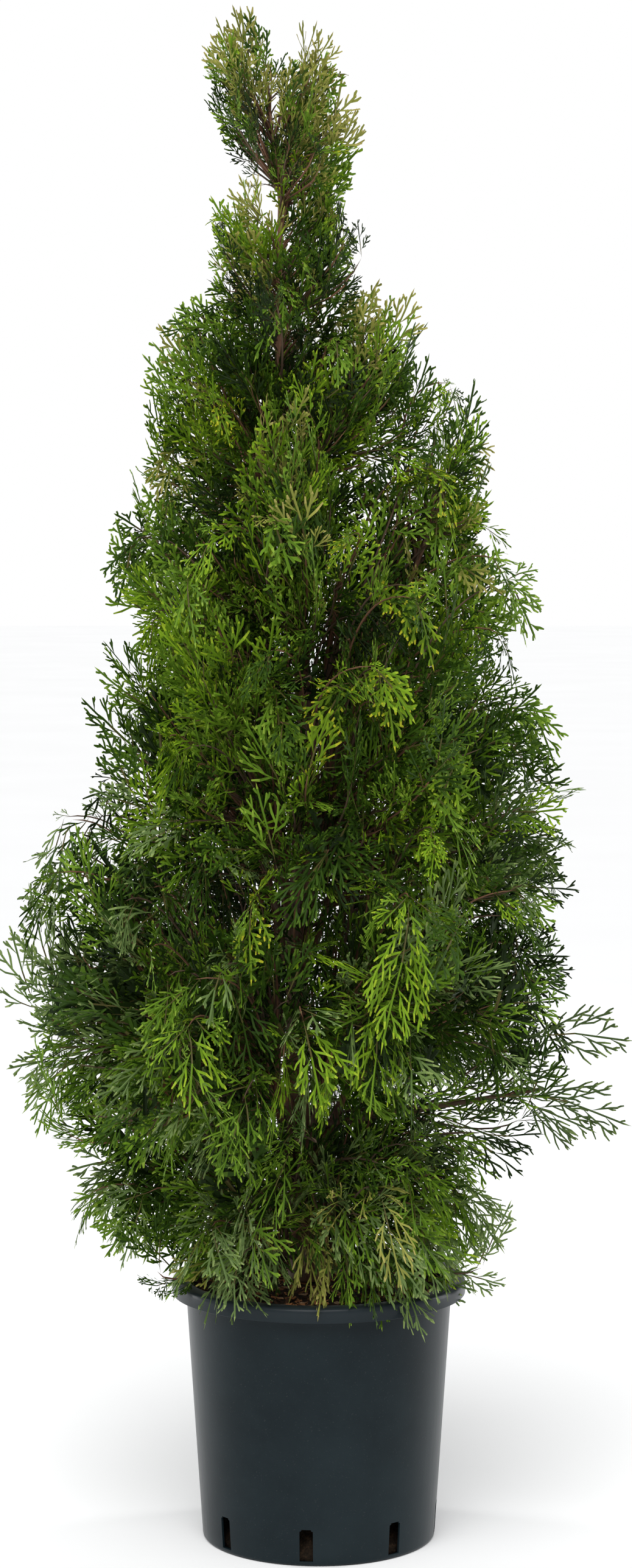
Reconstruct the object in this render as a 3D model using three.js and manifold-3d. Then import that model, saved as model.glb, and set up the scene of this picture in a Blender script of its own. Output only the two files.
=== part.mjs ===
// A young columnar thuja, grown in a round plastic nursery pot.
// Millimetres, +Z up. The origin is the middle of the pot's flat underside, and -Y is the front.
// The pot holds a root ball, the trunk stands on the root ball, boughs leave the trunk, and each mass of
// foliage is carried by a bough or by the trunk's own tip.
import * as THREE from "three";
import { mergeVertices } from "three/addons/utils/BufferGeometryUtils.js";
import Module from "manifold-3d";

const wasm = await Module();
wasm.setup();

// ---------- driving dimensions ----------

const GAP = 0.3; // clearance between neighbouring solids
const FACETS = 36; // round the pot and the root ball
const TIDY = 0.1; // how far a surface may move where small facets are merged
const LEAFY = { gap: 6, tidy: 3.2 }; // the same two between masses of foliage

const POT = {
  height: 268,
  rimRadius: 150,
  topRadius: 136.5, // of the wall, just under the lip
  baseRadius: 119,
  wall: 2.4,
  floor: 3,
  heel: 4, // rounding between the wall and the underside
  lipUnderside: 253, // the lip is folded down and is open below
  lipRound: 5,
};
const SLOT = { count: 8, width: 13.5, low: 5, high: 38, turnDeg: -6 };
const SOIL = { edgeHeight: 259, crownHeight: 266, crownRadius: 42 };

// The trunk. Its axis wanders by `sway` and `drift`, given at equal steps from the ground to the tip.
const TRUNK = {
  tip: 1476,
  sides: 10,
  rings: 16,
  sway: [-10, -22, -22, -18, -14, -30, -43, -36, -52], // to the right
  drift: [0, 4, 7, 5, -2, -6, -4, 0, 2], // to the back
  footRadius: 16,
  tipRadius: 1.4,
  taper: 0.85, // 1 is a straight cone, less stays thick for longer
  flare: 8, // added at the ground
  flareHeight: 26,
  buttresses: 5,
  crowding: 1.6, // 1 spaces the rings evenly, more draws them down to the flare
};

const BOUGH = { sides: 5, rings: 3, tipRadius: 2.2, intoMass: 22 };

// The masses of foliage, tier by tier from the ground up. Bearings run from +X towards +Y, so 270 is the
// front. `height` is the middle's, `lift` is one mass's own difference from its tier, and the reaches
// `inner` and `outer` are measured from the trunk's axis. `lean` is how far the top stands further out
// than the middle. `leaves` is the height at which the bough that carries the mass leaves the trunk, and
// `thick` is the bough's radius there. Where there is no `leaves` the mass sits on the trunk itself.
const TIERS = {
  skirt: {
    size: { height: 362, inner: 38, halfWidth: 94, halfHeight: 122, lean: -10, leaves: 284, thick: 4.5 },
    masses: [
      { side: "left", bearing: 184, outer: 250, lift: 16, inner: 60 },
      { side: "right", bearing: 355, outer: 222, lift: 6, inner: 56 },
      { side: "front_left", bearing: 236, outer: 222, lift: -14 },
      { side: "front_right", bearing: 302, outer: 224, lift: -20 },
      { side: "back_left", bearing: 124, outer: 232, lift: -4 },
      { side: "back_right", bearing: 63, outer: 236, lift: 4 },
    ],
  },
  side_spray: {
    size: { height: 482, inner: 232, halfWidth: 40, halfHeight: 62, lean: 12, leaves: 420, thick: 4 },
    masses: [{ side: "right", bearing: 357, outer: 350, lift: 0 }],
  },
  low: {
    size: { height: 592, inner: 50, halfWidth: 122, halfHeight: 190, lean: -30, leaves: 370, thick: 6 },
    masses: [
      { side: "left", bearing: 181, outer: 321, lift: -4, inner: 72, halfHeight: 200, lean: -8 },
      { side: "right", bearing: 2, outer: 302, lift: 0, inner: 62, lean: -14 },
      { side: "front_left", bearing: 240, outer: 300, lift: -16 },
      { side: "front_right", bearing: 299, outer: 296, lift: -4 },
      { side: "back_left", bearing: 121, outer: 302, lift: 2 },
      { side: "back_right", bearing: 60, outer: 298, lift: 14 },
    ],
  },
  mid: {
    size: { height: 838, inner: 36, halfWidth: 104, halfHeight: 172, lean: -22, leaves: 575, thick: 5 },
    masses: [
      { side: "left", bearing: 182, outer: 226, lift: -14 },
      { side: "right", bearing: 358, outer: 290, lift: -30, lean: -8 },
      { side: "front_left", bearing: 240, outer: 244, lift: -4 },
      { side: "front_right", bearing: 300, outer: 248, lift: 16 },
      { side: "back_left", bearing: 120, outer: 248, lift: 6 },
      { side: "back_right", bearing: 60, outer: 250, lift: 22 },
    ],
  },
  second_leader: {
    size: { height: 1090, inner: 136, halfWidth: 54, halfHeight: 118, lean: 0, leaves: 700, thick: 5 },
    masses: [{ side: "right", bearing: 1, outer: 220, lift: 4 }],
  },
  upper: {
    size: { height: 1040, inner: 22, halfWidth: 96, halfHeight: 156, lean: -14, leaves: 790, thick: 4 },
    masses: [
      { side: "front", bearing: 268, outer: 196, lift: 14, inner: 2, halfWidth: 84, leaves: 0 },
      { side: "back", bearing: 90, outer: 198, lift: 18, inner: 2, halfWidth: 84, leaves: 0 },
      { side: "left", bearing: 180, outer: 180, lift: -6 },
      { side: "right", bearing: 4, outer: 244, lift: -48 },
    ],
  },
  shoulder: {
    size: { height: 1196, inner: 12, halfWidth: 72, halfHeight: 108, lean: -6, leaves: 1020, thick: 3 },
    masses: [
      { side: "back", bearing: 92, outer: 124, lift: 4, inner: 1, halfWidth: 56, leaves: 0 },
      { side: "front", bearing: 272, outer: 112, lift: 22, inner: 1, halfWidth: 52, leaves: 0 },
      { side: "left", bearing: 183, outer: 146, lift: -16 },
      { side: "right", bearing: 352, outer: 164, lift: 0 },
    ],
  },
  neck: {
    size: { height: 1330, inner: 4, halfWidth: 48, halfHeight: 94, lean: 0 },
    masses: [
      { side: "left", bearing: 188, outer: 80, lift: -6 },
      { side: "right", bearing: 352, outer: 84, lift: 10, inner: -5 },
    ],
  },
  tip: {
    size: { height: 1462, inner: 4, halfWidth: 38, halfHeight: 88, lean: 0 },
    masses: [
      { side: "left", bearing: 184, outer: 84, lift: 10, inner: -14 },
      { side: "right", bearing: 354, outer: 98, lift: -16, inner: -2, lean: -6 },
    ],
  },
};
const LUMP = { detail: 2, smallDetail: 1, smallHeight: 160, ragged: 0.24, narrowing: 0.3 };

const FINISH = {
  pot: new THREE.MeshStandardMaterial({ color: 0x2a3338, roughness: 0.42, metalness: 0 }),
  soil: new THREE.MeshStandardMaterial({ color: 0x3a2415, roughness: 0.95, metalness: 0 }),
  bark: new THREE.MeshStandardMaterial({ color: 0x6b4030, roughness: 0.85, metalness: 0 }),
  foliage: new THREE.MeshStandardMaterial({ color: 0x3c6420, roughness: 0.6, metalness: 0 }),
};

// ---------- from three.js geometry to solids and back ----------

const radians = THREE.MathUtils.degToRad;

function solidOf(geometry) {
  const bare = geometry.clone();
  bare.deleteAttribute("normal");
  bare.deleteAttribute("uv");
  const merged = mergeVertices(bare, 1e-3);
  return new wasm.Manifold(
    new wasm.Mesh({
      numProp: 3,
      vertProperties: new Float32Array(merged.attributes.position.array),
      triVerts: new Uint32Array(merged.index.array),
    }),
  );
}

function meshOf(name, solid, material) {
  const found = solid.getMesh();
  const geometry = new THREE.BufferGeometry();
  geometry.setAttribute("position", new THREE.BufferAttribute(found.vertProperties, found.numProp));
  geometry.setIndex(new THREE.BufferAttribute(found.triVerts, 1));
  geometry.computeVertexNormals();
  const mesh = new THREE.Mesh(geometry, material);
  mesh.name = name;
  return mesh;
}

// A cut can leave slivers beside the piece itself: the largest body is the piece.
function largestBody(solid) {
  return solid.decompose().reduce((best, body) => (body.volume() > best.volume() ? body : best));
}

function cutClear(solid, obstacles, tidy = TIDY) {
  const cut = obstacles.reduce((left, obstacle) => left.subtract(obstacle), solid);
  return largestBody(cut.asOriginal().simplify(tidy));
}

// ---------- the pot and what it holds ----------

function turned(profile, divisions, facets) {
  const geometry = new THREE.LatheGeometry(profile.getPoints(divisions), facets);
  return solidOf(geometry.rotateX(Math.PI / 2));
}

function wallRadius(height) {
  return THREE.MathUtils.mapLinear(height, 0, POT.lipUnderside, POT.baseRadius, POT.topRadius);
}

function potShell() {
  const { height, rimRadius, topRadius, baseRadius, wall, floor, heel, lipUnderside, lipRound } = POT;
  const inside = topRadius - wall;
  const profile = new THREE.Path();
  profile.moveTo(0, 0);
  profile.lineTo(baseRadius - heel, 0);
  profile.quadraticCurveTo(baseRadius, 0, wallRadius(heel), heel);
  profile.lineTo(topRadius, height - 2 * wall);
  profile.lineTo(rimRadius - lipRound, height - 2 * wall);
  profile.lineTo(rimRadius - wall, lipUnderside);
  profile.lineTo(rimRadius - wall / 2, lipUnderside);
  profile.lineTo(rimRadius, lipUnderside + lipRound);
  profile.quadraticCurveTo(rimRadius, height, rimRadius - 1.6 * lipRound, height);
  profile.quadraticCurveTo(inside, height, inside, height - 1.6 * lipRound);
  profile.lineTo(wallRadius(floor) - wall, floor);
  profile.lineTo(0, floor);
  return turned(profile, 2, FACETS);
}

function drainageSlots() {
  const reach = 20; // across the wall
  const slots = [];
  for (let i = 0; i < SLOT.count; i++) {
    const box = new THREE.BoxGeometry(reach, SLOT.width, SLOT.high - SLOT.low);
    box.translate(POT.baseRadius, 0, (SLOT.high + SLOT.low) / 2);
    box.rotateZ(radians(270 + SLOT.turnDeg + (360 / SLOT.count) * i));
    slots.push(solidOf(box));
  }
  return slots;
}

function rootBall() {
  const { floor, wall } = POT;
  const low = floor + GAP;
  const insideRadius = (height) => wallRadius(height) - wall - GAP;
  const profile = new THREE.Path();
  profile.moveTo(0, low);
  profile.lineTo(insideRadius(low), low);
  profile.lineTo(insideRadius(SOIL.edgeHeight) - GAP, SOIL.edgeHeight);
  profile.quadraticCurveTo(POT.baseRadius * 0.6, SOIL.edgeHeight + 1, SOIL.crownRadius, SOIL.crownHeight);
  profile.lineTo(0, SOIL.crownHeight);
  return turned(profile, 2, FACETS);
}

// Everything of the pot and its soil that foliage and boughs keep clear of, in few facets.
function potKeepOut() {
  const facets = 16;
  const edge = (POT.rimRadius + GAP) / Math.cos(Math.PI / facets);
  const top = POT.height + GAP;
  const profile = new THREE.Path();
  profile.moveTo(0, -1);
  profile.lineTo(POT.baseRadius + 4, -1);
  profile.lineTo(POT.topRadius + 4, POT.lipUnderside - 1);
  profile.lineTo(edge, POT.lipUnderside - 1);
  profile.lineTo(edge, top);
  profile.lineTo(POT.topRadius - 6, top);
  profile.lineTo(POT.topRadius - 6, SOIL.crownHeight + 2);
  profile.lineTo(0, SOIL.crownHeight + 2);
  return turned(profile, 2, facets);
}

// ---------- limbs ----------

// A tapering limb: a cylinder whose rings are moved onto the curve. radiusAt takes the share of the way
// along and the angle round the limb, and `crowding` draws the rings towards the start.
function limb(curve, { sides, rings, crowding = 1 }, radiusAt, grow = 0) {
  const geometry = new THREE.CylinderGeometry(1, 1, 1, sides, rings);
  const frames = curve.computeFrenetFrames(rings);
  const place = geometry.attributes.position;
  for (let i = 0; i < place.count; i++) {
    const ring = Math.round((0.5 + place.getY(i)) * rings);
    const along = (ring / rings) ** crowding;
    const facing = Math.round(along * rings);
    const across = new THREE.Vector2(place.getX(i), place.getZ(i));
    const radius = radiusAt(along, across.angle()) + grow;
    const end = grow * Math.sign(along - 0.5) * (ring === 0 || ring === rings);
    const point = curve.getPointAt(along);
    point.addScaledVector(frames.normals[facing], across.x * radius);
    point.addScaledVector(frames.binormals[facing], -across.y * radius);
    point.addScaledVector(frames.tangents[facing], end);
    place.setXYZ(i, point.x, point.y, point.z);
  }
  return solidOf(geometry);
}

const GROUND = SOIL.crownHeight + GAP;

function trunkAxis(height) {
  const share = THREE.MathUtils.clamp((height - GROUND) / (TRUNK.tip - GROUND), 0, 1);
  const steps = TRUNK.sway.length - 1;
  const step = Math.min(Math.floor(share * steps), steps - 1);
  const across = THREE.MathUtils.smoothstep(share * steps - step, 0, 1);
  const between = (offsets) => THREE.MathUtils.lerp(offsets[step], offsets[step + 1], across);
  return new THREE.Vector3(between(TRUNK.sway), between(TRUNK.drift), height);
}

function trunkRadius(height) {
  const share = THREE.MathUtils.clamp((height - GROUND) / (TRUNK.tip - GROUND), 0, 1);
  return THREE.MathUtils.lerp(TRUNK.footRadius, TRUNK.tipRadius, share ** TRUNK.taper);
}

// The axis, sampled closely, with a short upright start so that the cut at the ground is level.
function trunkCurve() {
  const points = [trunkAxis(GROUND), trunkAxis(GROUND + 4).setX(TRUNK.sway[0])];
  for (let i = 1; i <= TRUNK.rings; i++) {
    points.push(trunkAxis(THREE.MathUtils.lerp(GROUND + 4, TRUNK.tip, i / TRUNK.rings)));
  }
  return new THREE.CatmullRomCurve3(points);
}

function trunk(grow = 0) {
  const span = TRUNK.tip - GROUND;
  const radiusAt = (along, angle) => {
    const flare = TRUNK.flare * Math.exp((-along * span) / TRUNK.flareHeight);
    const lobes = 1 + 0.3 * Math.cos(TRUNK.buttresses * angle);
    return trunkRadius(GROUND + along * span) + flare * lobes;
  };
  return limb(trunkCurve(), TRUNK, radiusAt, grow);
}

// A bough leaves the trunk, swings out and rises to the inner side of its mass.
function boughCurve(mass) {
  const start = trunkAxis(mass.leaves);
  const outward = outwardFrom(mass.bearing);
  const end = trunkAxis(mass.height).addScaledVector(outward, mass.inner + BOUGH.intoMass);
  end.z = mass.height - 0.3 * mass.halfHeight;
  const bend = start.clone().lerp(end, 0.45).addScaledVector(outward, 0.14 * mass.inner);
  bend.z -= 0.06 * (end.z - start.z);
  return new THREE.CatmullRomCurve3([start, bend, end]);
}

function bough(mass, grow = 0) {
  const radiusAt = (along) => THREE.MathUtils.lerp(mass.thick, BOUGH.tipRadius, along);
  return limb(boughCurve(mass), BOUGH, radiusAt, grow);
}

// ---------- foliage ----------

function outwardFrom(bearing) {
  return new THREE.Vector3(Math.cos(radians(bearing)), Math.sin(radians(bearing)), 0);
}

// Smooth unevenness between about -1 and 1 over a unit sphere, of its own for each seed.
function unevenness(direction, seed) {
  const { x, y, z } = direction;
  const broad = Math.sin(3.1 * x + seed) * Math.cos(2.6 * y - 1.7 * seed) + Math.sin(3.4 * z + 2.3 * seed);
  const fine = Math.sin(7.3 * y + 3.1 * seed) * Math.sin(6.7 * z - seed) * Math.cos(6.1 * x + seed);
  return 0.4 * broad + 0.45 * fine;
}

// A mass of foliage: a lump, narrower towards its top, smooth where its bough enters and uneven outside.
function lump(mass, seed, grow = 0) {
  const outward = outwardFrom(mass.bearing);
  const sideways = new THREE.Vector3(-outward.y, outward.x, 0);
  const middle = trunkAxis(mass.height).addScaledVector(outward, (mass.inner + mass.outer) / 2);
  const halfReach = (mass.outer - mass.inner) / 2;
  const small = mass.halfHeight < LUMP.smallHeight;
  const geometry = new THREE.IcosahedronGeometry(1, small ? LUMP.smallDetail : LUMP.detail);
  const place = geometry.attributes.position;
  const direction = new THREE.Vector3();
  for (let i = 0; i < place.count; i++) {
    direction.fromBufferAttribute(place, i).normalize();
    const open = THREE.MathUtils.smoothstep(direction.x, -0.9, 0.3);
    const swell = 1 + open * LUMP.ragged * (unevenness(direction, seed) - 0.5);
    const narrow = 1 - LUMP.narrowing * direction.z;
    const point = middle.clone();
    point.addScaledVector(outward, direction.x * (halfReach * swell * narrow + grow) + direction.z * mass.lean);
    point.addScaledVector(sideways, direction.y * (mass.halfWidth * swell * narrow + grow));
    point.z += direction.z * (mass.halfHeight * swell + grow);
    place.setXYZ(i, point.x, point.y, point.z);
  }
  return solidOf(geometry);
}

// ---------- the assembly ----------

const plant = new THREE.Group();
plant.name = "potted_thuja";

plant.add(meshOf("pot", cutClear(potShell(), drainageSlots()), FINISH.pot));
plant.add(meshOf("root_ball", rootBall(), FINISH.soil));
plant.add(meshOf("trunk", trunk(), FINISH.bark));

const masses = Object.entries(TIERS).flatMap(([tier, { size, masses: own }]) =>
  own.map((mass) => ({ ...size, ...mass, name: `${tier}_${mass.side}`, height: size.height + mass.lift })),
);
const keepOut = [potKeepOut(), trunk(GAP)];
for (const mass of masses.filter(({ leaves }) => leaves)) {
  const solid = cutClear(bough(mass), keepOut);
  plant.add(meshOf(`bough_${mass.name}`, solid, FINISH.bark));
  keepOut.push(bough(mass, GAP));
}
const neighbours = [];
masses.forEach((mass, i) => {
  const shaped = cutClear(lump(mass, i + 1), neighbours, LEAFY.tidy);
  plant.add(meshOf(`foliage_${mass.name}`, cutClear(shaped, keepOut), FINISH.foliage));
  neighbours.push(lump(mass, i + 1, LEAFY.gap));
});

export default plant;
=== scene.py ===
"""A young thuja in a plastic nursery pot: the looks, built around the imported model.

Metres, +Z up, the front of the plant facing -Y. Every mass of the model is replaced by twigs and flat
scaly sprays, which grow on from the trunk and the boughs by one seeded rule.
"""
import math

import bmesh
import bpy
import numpy as np
from mathutils import Matrix, Vector, noise
from mathutils.bvhtree import BVHTree


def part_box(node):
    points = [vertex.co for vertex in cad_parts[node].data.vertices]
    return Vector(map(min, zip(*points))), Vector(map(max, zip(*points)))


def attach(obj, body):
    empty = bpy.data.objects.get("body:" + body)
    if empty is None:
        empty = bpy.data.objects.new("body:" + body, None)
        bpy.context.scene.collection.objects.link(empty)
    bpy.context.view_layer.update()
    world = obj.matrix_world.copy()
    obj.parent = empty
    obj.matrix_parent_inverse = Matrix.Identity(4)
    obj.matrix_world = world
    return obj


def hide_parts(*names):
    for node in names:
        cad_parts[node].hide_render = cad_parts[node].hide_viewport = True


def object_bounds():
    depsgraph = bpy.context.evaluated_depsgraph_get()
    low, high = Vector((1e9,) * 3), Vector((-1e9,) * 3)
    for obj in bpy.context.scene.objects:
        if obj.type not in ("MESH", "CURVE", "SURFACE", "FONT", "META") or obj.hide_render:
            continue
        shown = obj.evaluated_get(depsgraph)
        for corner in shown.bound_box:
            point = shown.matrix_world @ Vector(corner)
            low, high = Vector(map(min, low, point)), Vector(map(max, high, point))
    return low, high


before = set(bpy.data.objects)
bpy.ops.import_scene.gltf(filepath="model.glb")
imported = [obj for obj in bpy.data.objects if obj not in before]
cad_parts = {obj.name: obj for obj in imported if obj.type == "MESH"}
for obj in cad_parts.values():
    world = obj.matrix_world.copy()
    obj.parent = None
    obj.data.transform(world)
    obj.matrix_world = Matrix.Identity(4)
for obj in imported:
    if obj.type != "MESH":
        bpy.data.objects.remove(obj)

CAD_BOX = [list(corner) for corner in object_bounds()]
MM = 0.001
SEED = 41
WIDEST = CAD_BOX[1][0]
POT_RIM, POT_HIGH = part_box("pot")[1].x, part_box("pot")[1].z
SOIL_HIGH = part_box("root_ball")[1].z
rng = np.random.default_rng(SEED)

# ---------------------------------------------------------------- driving sizes

CAMERA = {"distance": 3.5, "side": -0.0028, "height": 1.0426, "down_deg": 4.397, "lens": 79.5}

POT_WALL = 2.4 * MM
POT_BASE_RADIUS = 119 * MM
POT_TOP_RADIUS = 136.5 * MM
POT_LIP_UNDERSIDE = 253 * MM
POT_FLOOR = 3 * MM
SLOT_COUNT = 8
SLOT_TURN = math.radians(-6)
SLOT_WIDTH = 13.5 * MM
SLOT_LOW = 5 * MM
SLOT_HIGH = 38 * MM
SLOT_RECESS = 24 * MM       # how far the growing medium has fallen back behind the slots

# How the growing tips rise or hang, by height: (height, pull along +Z).
PULL = [(0.24, -0.9), (0.40, -0.55), (0.54, -0.1), (0.66, 0.25), (0.95, 0.6), (1.25, 0.9), (1.6, 1.2)]
# The share of growing tips that lie along the skin of the crown instead of standing out of it, and the
# share of these that hang instead of rising, by height.
LYING = [(0.3, 0.45), (0.6, 0.60), (1.0, 0.6), (1.3, 0.3)]
HANGING = [(0.3, 0.95), (0.6, 0.75), (0.9, 0.6), (1.15, 0.3), (1.5, 0.0)]
# The length of the spray at the end of a twig, by height, and how much longer or shorter it may be.
TIP_SPRAY = [(0.3, 0.084), (0.6, 0.086), (0.75, 0.074), (1.0, 0.063), (1.25, 0.056), (1.5, 0.049)]
TIP_SPREAD = 0.22
# Some of the lower sprays are great fans: their share, how much longer they are, and up to what height.
GREAT = (0.06, 1.35, 0.60)
# The share of twigs whose sprays lie face outwards instead of edge outwards, by height.
FACING = [(0.25, 0.6), (0.6, 0.55), (0.9, 0.4), (1.3, 0.3)]
# Distance between neighbouring growing tips on the outside of the crown, by height.
SPACING = [(0.25, 0.043), (0.6, 0.042), (0.85, 0.033), (1.05, 0.027), (1.25, 0.024), (1.5, 0.0185)]
DENSE = 0.78                # this times as far apart where the crown bulges
# The same between the middles of all sprays.
CLEARANCE = [(0.25, 0.0165), (0.7, 0.0154), (1.0, 0.0113), (1.3, 0.0093), (1.5, 0.0080)]
# Where a tip ends below the skin of the crown: (share of the tips, least, most).
LAYERS = [(0.72, -0.008, 0.010), (0.18, 0.022, 0.045), (0.10, 0.055, 0.09)]
# The pockets between plumes, whose tips end deeper and take darker colours as painted shade: their size
# across and in height, their depth and how much is pocket.
POCKET_SIZE = (0.085, 0.085, 0.15)
POCKET_DEPTH = 0.050
POCKET_EDGE = (0.05, 0.30)
# The mass with a few long, open sprays, and their length.
OPEN_MASS = "foliage_side_spray_right"
OPEN_SPRAY = 0.125
FORK_RISE = 0.052           # how far the upper fork of the open bough ends above the bough
# How far down its carrier a twig starts, as a share of its distance from it, by height.
ASCENT = [(0.4, 0.4), (0.8, 0.7), (1.1, 1.2), (1.5, 1.5)]
LIP_SPRAYS = 11             # sprays that hang over the pot's lip
# Where the tips on one side of the crown end deeper, or stand out farther: (side, height, half the extent
# in height, how much deeper).
DENTS = [(-1, 1.435, 0.060, 0.082), (1, 1.34, 0.04, 0.018), (1, 1.25, 0.07, -0.006), (-1, 1.26, 0.05, 0.026),
         (-1, 1.08, 0.05, -0.018), (1, 1.09, 0.05, 0.030), (1, 1.02, 0.04, -0.014), (1, 0.92, 0.08, -0.034),
         (-1, 0.90, 0.12, -0.016), (-1, 0.70, 0.07, 0.024), (1, 0.71, 0.06, -0.018), (1, 0.53, 0.10, 0.048),
         (-1, 0.55, 0.08, 0.018), (-1, 0.44, 0.05, -0.014), (-1, 0.34, 0.05, 0.006), (1, 0.41, 0.05, -0.014),
         (1, 0.29, 0.04, 0.020)]

SPRAY_STEP = 0.018          # distance between sprays on a twig
SPRAY_ZONE = 0.086          # how far back from its end a twig carries sprays
SPRAY_REACH = 0.016         # how far a spray may stand outside the crown
CORE_VOLUME = 0.000023      # of a mass's box, for each try at a spray in its core
CORE_DEPTH = 0.026          # the least depth of such a spray
# Where the gaps between masses are filled, and how many places are tried.
CROWN_GAPS = ((-0.28, -0.26, 0.36), (0.28, 0.26, 1.20))
GAP_TRIES = 6000
# Single boughs that round off the outline: where each ends, and how long its sprays are.
STRAYS = [((0.205, -0.03, 0.672), 0.070), ((0.190, 0.04, 0.690), 0.070), ((0.165, -0.02, 0.420), 0.070),
          ((0.120, -0.04, 0.345), 0.070), ((-0.200, -0.02, 0.425), 0.075), ((-0.125, -0.05, 0.330), 0.085),
          ((-0.085, -0.06, 0.300), 0.080), ((0.075, -0.05, 1.110), 0.055), ((0.178, -0.02, 0.850), 0.060),
          ((0.195, 0.02, 0.790), 0.055), ((-0.110, -0.02, 1.230), 0.050), ((-0.005, -0.10, 0.470), 0.070),
          ((0.010, -0.12, 0.540), 0.075), ((-0.010, -0.13, 0.620), 0.075), ((0.010, -0.13, 0.690), 0.075),
          ((-0.010, -0.14, 0.770), 0.070), ((0.010, -0.13, 0.850), 0.070),
          ((0.060, -0.165, 0.415), 0.070), ((-0.070, -0.165, 0.425), 0.070), ((0.050, 0.165, 0.415), 0.070),
          ((-0.060, 0.165, 0.425), 0.070)]
STRAY_SPRAYS = 8
LEAF_FACES_MAX = 190_000    # in one piece

UP = np.array([0, 0, 1.0])
FRONT = np.array([0.1, -1, 0])      # about where the front faces
GOLDEN_TURN = math.radians(137.5)
SPOTS_MAX = 9000
AREA_PER_TRY = 0.00006      # of a mass's skin, for each try at a growing tip
LOWEST_LEAF = 0.20
SHRINK, SHRINK_TRIES = 0.84, 4      # a spray that stands outside the crown is made shorter, so many times
SHRINK_SLACK = 0.02                 # how much farther out it may still stand after that
# The thickness of each kind of twig, at its root and at its end.
STOUT_WOOD, FORK_WOOD, STRAY_WOOD = (0.0042, 0.0012), (0.0016, 0.0009), (0.0026, 0.0010)
TRUNK_TWIG, GAP_TWIG, LIP_TWIG = (0.0012, 0.0008), (0.0017, 0.0008), (0.0019, 0.0009)
YOUNG, OLD = 0, 1           # the numbers of the twig colours
CARRIER_STEPS, CARRIER_STEP, CARRIER_DEPTH = 40, 0.010, 0.030   # how a bough goes on inside its mass
TWIG_STEP = 0.014           # between the points of a twig's path
TWIG_LEAVE, TWIG_ARRIVE = 0.30, 0.34    # of its reach: how stiffly it leaves its carrier and meets its spray
TIP_SHARE = 0.93            # of the last spray's length lies before the tip
FIRST_SIDE, BARE_FOOT = 0.008, 0.012    # from a twig's end and from its root, where side sprays may sit
FACING_SPREAD, SIDE_SPREAD = math.radians(26), math.radians(18)
SIDE_ANGLE, CURTAIN_FOLD = (30, 46), 0.55      # degrees off the twig, and how much of that in a curtain
# Along the trunk: from, to and steps in height, where its sprays turn from painted-shade colours to lit ones,
# and where and how much fewer they get, and their room.
TRUNK_FILL = (0.33, 1.47, 0.0062)
TRUNK_LIGHT, TRUNK_THIN, TRUNK_SKIP, TRUNK_ROOM = 1.25, 1.30, 0.6, 0.62
# The odds of sparse, fan and feather sprays above a height, and at the crown's waist.
SPRAY_NAMES = ("sparse", "fan", "feather")
SPRAY_ODDS = [(0.85, (0.0, 0.45, 0.55)), (0.6, (0.15, 0.50, 0.35)), (0.0, (0.55, 0.45, 0.0))]
WAIST_ODDS = (0.45, 0.35, 0.20)
# The odds of leaf colours in the hanging curtains, and along the trunk near its top.
CURTAIN_LEAVES = {"yellow": 0.34, "fresh": 0.30, "mid": 0.22, "deep": 0.14}
TRUNK_TOP_LEAVES = {"mid": 0.5, "olive": 0.15, "fresh": 0.35}
# The shoots at the very top: how far right of it and below it, the lean, and the length.
LEADER_SHOOTS = [(0, 0, -0.30, 0.066), (0.012, 0.020, 0.05, 0.05), (-0.014, 0.03, -0.6, 0.05),
                 (0.03, 0.045, 0.25, 0.05), (0.047, 0.038, 0.15, 0.05), (0.062, 0.055, 0.35, 0.05)]


def lookup(table, x):
    """A value read off a table of (place, value) rows, in a straight line between them."""
    return float(np.interp(x, [row[0] for row in table], [row[1] for row in table]))


def unit(v):
    """The vector, one metre long."""
    v = np.asarray(v, float)
    return v / max(np.linalg.norm(v), 1e-9)


def turned(v, axis, angle):
    """The vector turned about a unit axis."""
    return (
        v * math.cos(angle)
        + np.cross(axis, v) * math.sin(angle)
        + axis * np.dot(axis, v) * (1 - math.cos(angle))
    )


def across(v, axis):
    """What is left of the vector at right angles to a unit axis, one metre long."""
    return unit(v - axis * np.dot(v, axis))


def turns(count):
    """The angles of a full turn in equal steps."""
    return [2 * math.pi * k / count for k in range(count)]


def level(angle):
    """The level direction at an angle from +X."""
    return np.array([math.cos(angle), math.sin(angle), 0])


def leftwards(v):
    """What lies a quarter turn to the left of a direction, seen from above."""
    return np.array([-v[1], v[0], 0])


def point_along(path, lengths, place):
    """The point of a path at a place along it, given the length up to each of its points."""
    return np.array([np.interp(place, lengths, path[:, k]) for k in range(3)])


# ---------------------------------------------------------------- materials


def plain(name, colour, roughness=0.55, specular=0.12):
    """A material of one even colour, for pieces made of many small faces."""
    material = bpy.data.materials.new(name)
    material.use_nodes = True
    shader = material.node_tree.nodes["Principled BSDF"]
    shader.inputs["Base Color"].default_value = (*colour, 1)
    shader.inputs["Roughness"].default_value = roughness
    shader.inputs["Specular IOR Level"].default_value = specular
    material.diffuse_color = (*colour, 1)
    return material


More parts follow.
